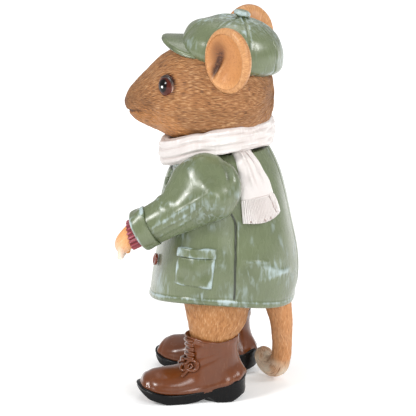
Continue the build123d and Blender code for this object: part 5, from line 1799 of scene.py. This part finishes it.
@dataclass
class Tail:
    """Tapering tail that hangs from the coat and bends along the floor to the right heel."""

    radius: float = 6.2
    sway: float = 16.0
    back_y: float = 31.4
    height: float = 50.0
    shares: tuple = ((0.00, 0.86, 1.00, 1.00), (-0.03, 0.93, 0.82, 1.00), (-0.14, 0.99, 0.62, 0.86),
                     (-0.28, 1.00, 0.42, 0.74), (-0.36, 0.985, 0.24, 0.72), (-0.42, 0.94, 0.145, 0.74),
                     (-0.56, 0.86, 0.118, 0.77), (-0.74, 0.775, 0.130, 0.76), (-0.90, 0.70, 0.185, 0.70),
                     (-1.02, 0.645, 0.250, 0.56))

    def form(self) -> Skin:
        """Tail: a tube along a smooth path, its end rounded, with rows of fine strokes."""
        table = np.array(self.shares) * (self.sway, self.back_y, self.height, self.radius)
        knots = np.concatenate([[0], np.cumsum(np.linalg.norm(np.diff(table[:, :3], axis=0), axis=1))])
        at = np.linspace(0, knots[-1], 200)
        values = curve_through(knots, table, at)
        path, radii = values[:, :3], values[:, 3]
        share = at / knots[-1]
        radii = radii * np.sqrt(np.clip(1 - ((share - 0.945) / 0.06).clip(0, 1) ** 2, 0.01, 1))
        skin = tube(path, radii, (1.0, 0.0, 0.0), 120)
        angle = np.linspace(0, 1, 120, endpoint=False)[None]
        strokes = lattice(share[:, None], angle, (26, 48), 111)
        skin.raised(0.13 * strokes, 1.6)
        mottle = lattice(share[:, None], angle, (22, 9), 112)
        pale = ease(0.62, 0.74, share)[:, None]
        skin.tone = np.clip(pale * (0.75 + 0.5 * mottle), 0, 1)
        skin.relief -= 0.5 * (1 - ease(0.04, 0.26, share))[:, None] + 0.3 * pale * (mottle < -0.2)
        return skin

    def dress(self, shop: Workshop) -> None:
        """Make the tail."""
        shop.piece("tail_cast", [self.form()], TAIL_FUR, "tail")


# Stage, light and camera


@dataclass(frozen=True)
class Studio:
    """Pale floor, soft lights and the camera at the photograph's angle."""

    stand: Stand
    azimuth: float = 98.0
    elevation: float = 13.0
    distance: float = 1100.0
    target: tuple = (0.0, -2.0, 81.5)
    millimetres_per_pixel: float = 0.45
    frame_pixels: int = 416
    sensor: float = 36.0
    light_aim: tuple = (0.0, 0.0, 0.08)
    lamps: tuple = (("key", (0.75, -0.75, 0.80), 0.32, 9.0), ("fill", (0.90, 0.55, 0.55), 0.40, 3.8),
                    ("rear", (0.10, 0.95, 0.75), 0.35, 5.0), ("top", (-0.3, 0.0, 1.0), 0.5, 2.0))
    world_strength: float = 0.47
    floor_half: float = 40.0
    floor_grey: float = 0.92
    floor_glow: tuple = (0.12, 0.8, 0.22, 0.62)  # distances in metres, then the strengths there

    @staticmethod
    def placed(name: str, data: bpy.types.ID, axes: Array, place: Array) -> bpy.types.Object:
        """Link a new object whose axes are the columns, at a place."""
        made = bpy.data.objects.new(name, data)
        made.matrix_world = Matrix([[*row, p] for row, p in zip(axes, place)] + [[0, 0, 0, 1]])
        bpy.context.scene.collection.objects.link(made)
        return made

    def camera(self) -> None:
        """Aim the camera from its azimuth and elevation, with a lens that gives the photograph's scale."""
        a, e = np.radians(self.azimuth), np.radians(self.elevation)
        look = np.array((-np.sin(a) * np.cos(e), np.cos(a) * np.cos(e), -np.sin(e)))
        right = np.array((np.cos(a), np.sin(a), 0.0))
        up = np.cross(right, look)
        place = self.stand.placed(np.array(self.target) - look * self.distance)
        data = bpy.data.cameras.new("camera")
        data.sensor_width = self.sensor
        data.lens = self.distance / self.millimetres_per_pixel / self.frame_pixels * self.sensor
        data.clip_start, data.clip_end = 0.05, 100.0
        bpy.context.scene.camera = self.placed("camera", data, np.stack([right, up, -look], 1), place)

    def light(self, name: str, place: tuple, size: float, power: float) -> None:
        """One square area light that faces the figure."""
        data = bpy.data.lights.new(name, "AREA")
        data.size, data.energy = size, power
        back = unit(np.array(place) - self.light_aim)
        across = unit(np.cross((0.0, 0.0, 1.0), back))
        self.placed(name, data, np.stack([across, np.cross(back, across), back], 1), place)

    def floor(self) -> None:
        """Wide pale floor."""
        mesh = bpy.data.meshes.new("floor")
        half = self.floor_half
        mesh.from_pydata([(-half, -half, 0), (half, -half, 0), (half, half, 0), (-half, half, 0)], [], [(0, 1, 2, 3)])
        paper = bpy.data.materials.new("Paper")
        paper.use_nodes = True
        shader = paper.node_tree.nodes["Principled BSDF"]
        shader.inputs["Base Color"].default_value = (self.floor_grey, self.floor_grey, self.floor_grey, 1)
        shader.inputs["Roughness"].default_value = 0.7
        shader.inputs["Emission Color"].default_value = (1, 1, 1, 1)
        tree = Tree(paper.node_tree)
        away = tree.vector("LENGTH", tree.place()).outputs["Value"]
        tree.put(shader.inputs["Emission Strength"], tree.span(away, *self.floor_glow))
        mesh.materials.append(paper)
        sheet = self.placed("floor", mesh, np.eye(3), np.zeros(3))

    def dress(self) -> None:
        """Set the world, the lights, the floor and the camera."""
        world = bpy.data.worlds.new("studio")
        world.use_nodes = True
        sky = world.node_tree.nodes["Background"]
        sky.inputs[0].default_value = (1.0, 1.0, 1.0, 1)
        sky.inputs[1].default_value = self.world_strength
        bpy.context.scene.world = world
        bpy.context.scene.view_settings.view_transform = "Standard"
        for lamp in self.lamps:
            self.light(*lamp)
        self.floor()
        self.camera()


def main() -> None:
    """Build the figure piece by piece, then stage it."""
    logging.basicConfig(level=logging.INFO, format="%(message)s")
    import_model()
    low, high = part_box("head")
    head = Head()
    stand = Stand((low.x + high.x) / 2 / METRE, low.y / METRE - head.nose_y, 0.0)
    shop = Workshop(stand)
    coat = Coat()
    head.dress(shop)
    Ear().dress(shop)
    Cap().dress(shop)
    coat.dress(shop)
    Scarf(coat).dress(shop)
    Arm("left", elbow=(36.0, 5.0, 95.4), wrist=(36.0, -23.4, 80.6), droop=66.0, roll=0.0).dress(shop)
    Arm("right", elbow=(-38.5, 9.0, 94.0), wrist=(-45.0, 16.5, 69.0), droop=22.0, roll=90.0).dress(shop)
    Leg().dress(shop)
    Tail().dress(shop)
    Studio(stand).dress()


if __name__ == "__main__":
    main()
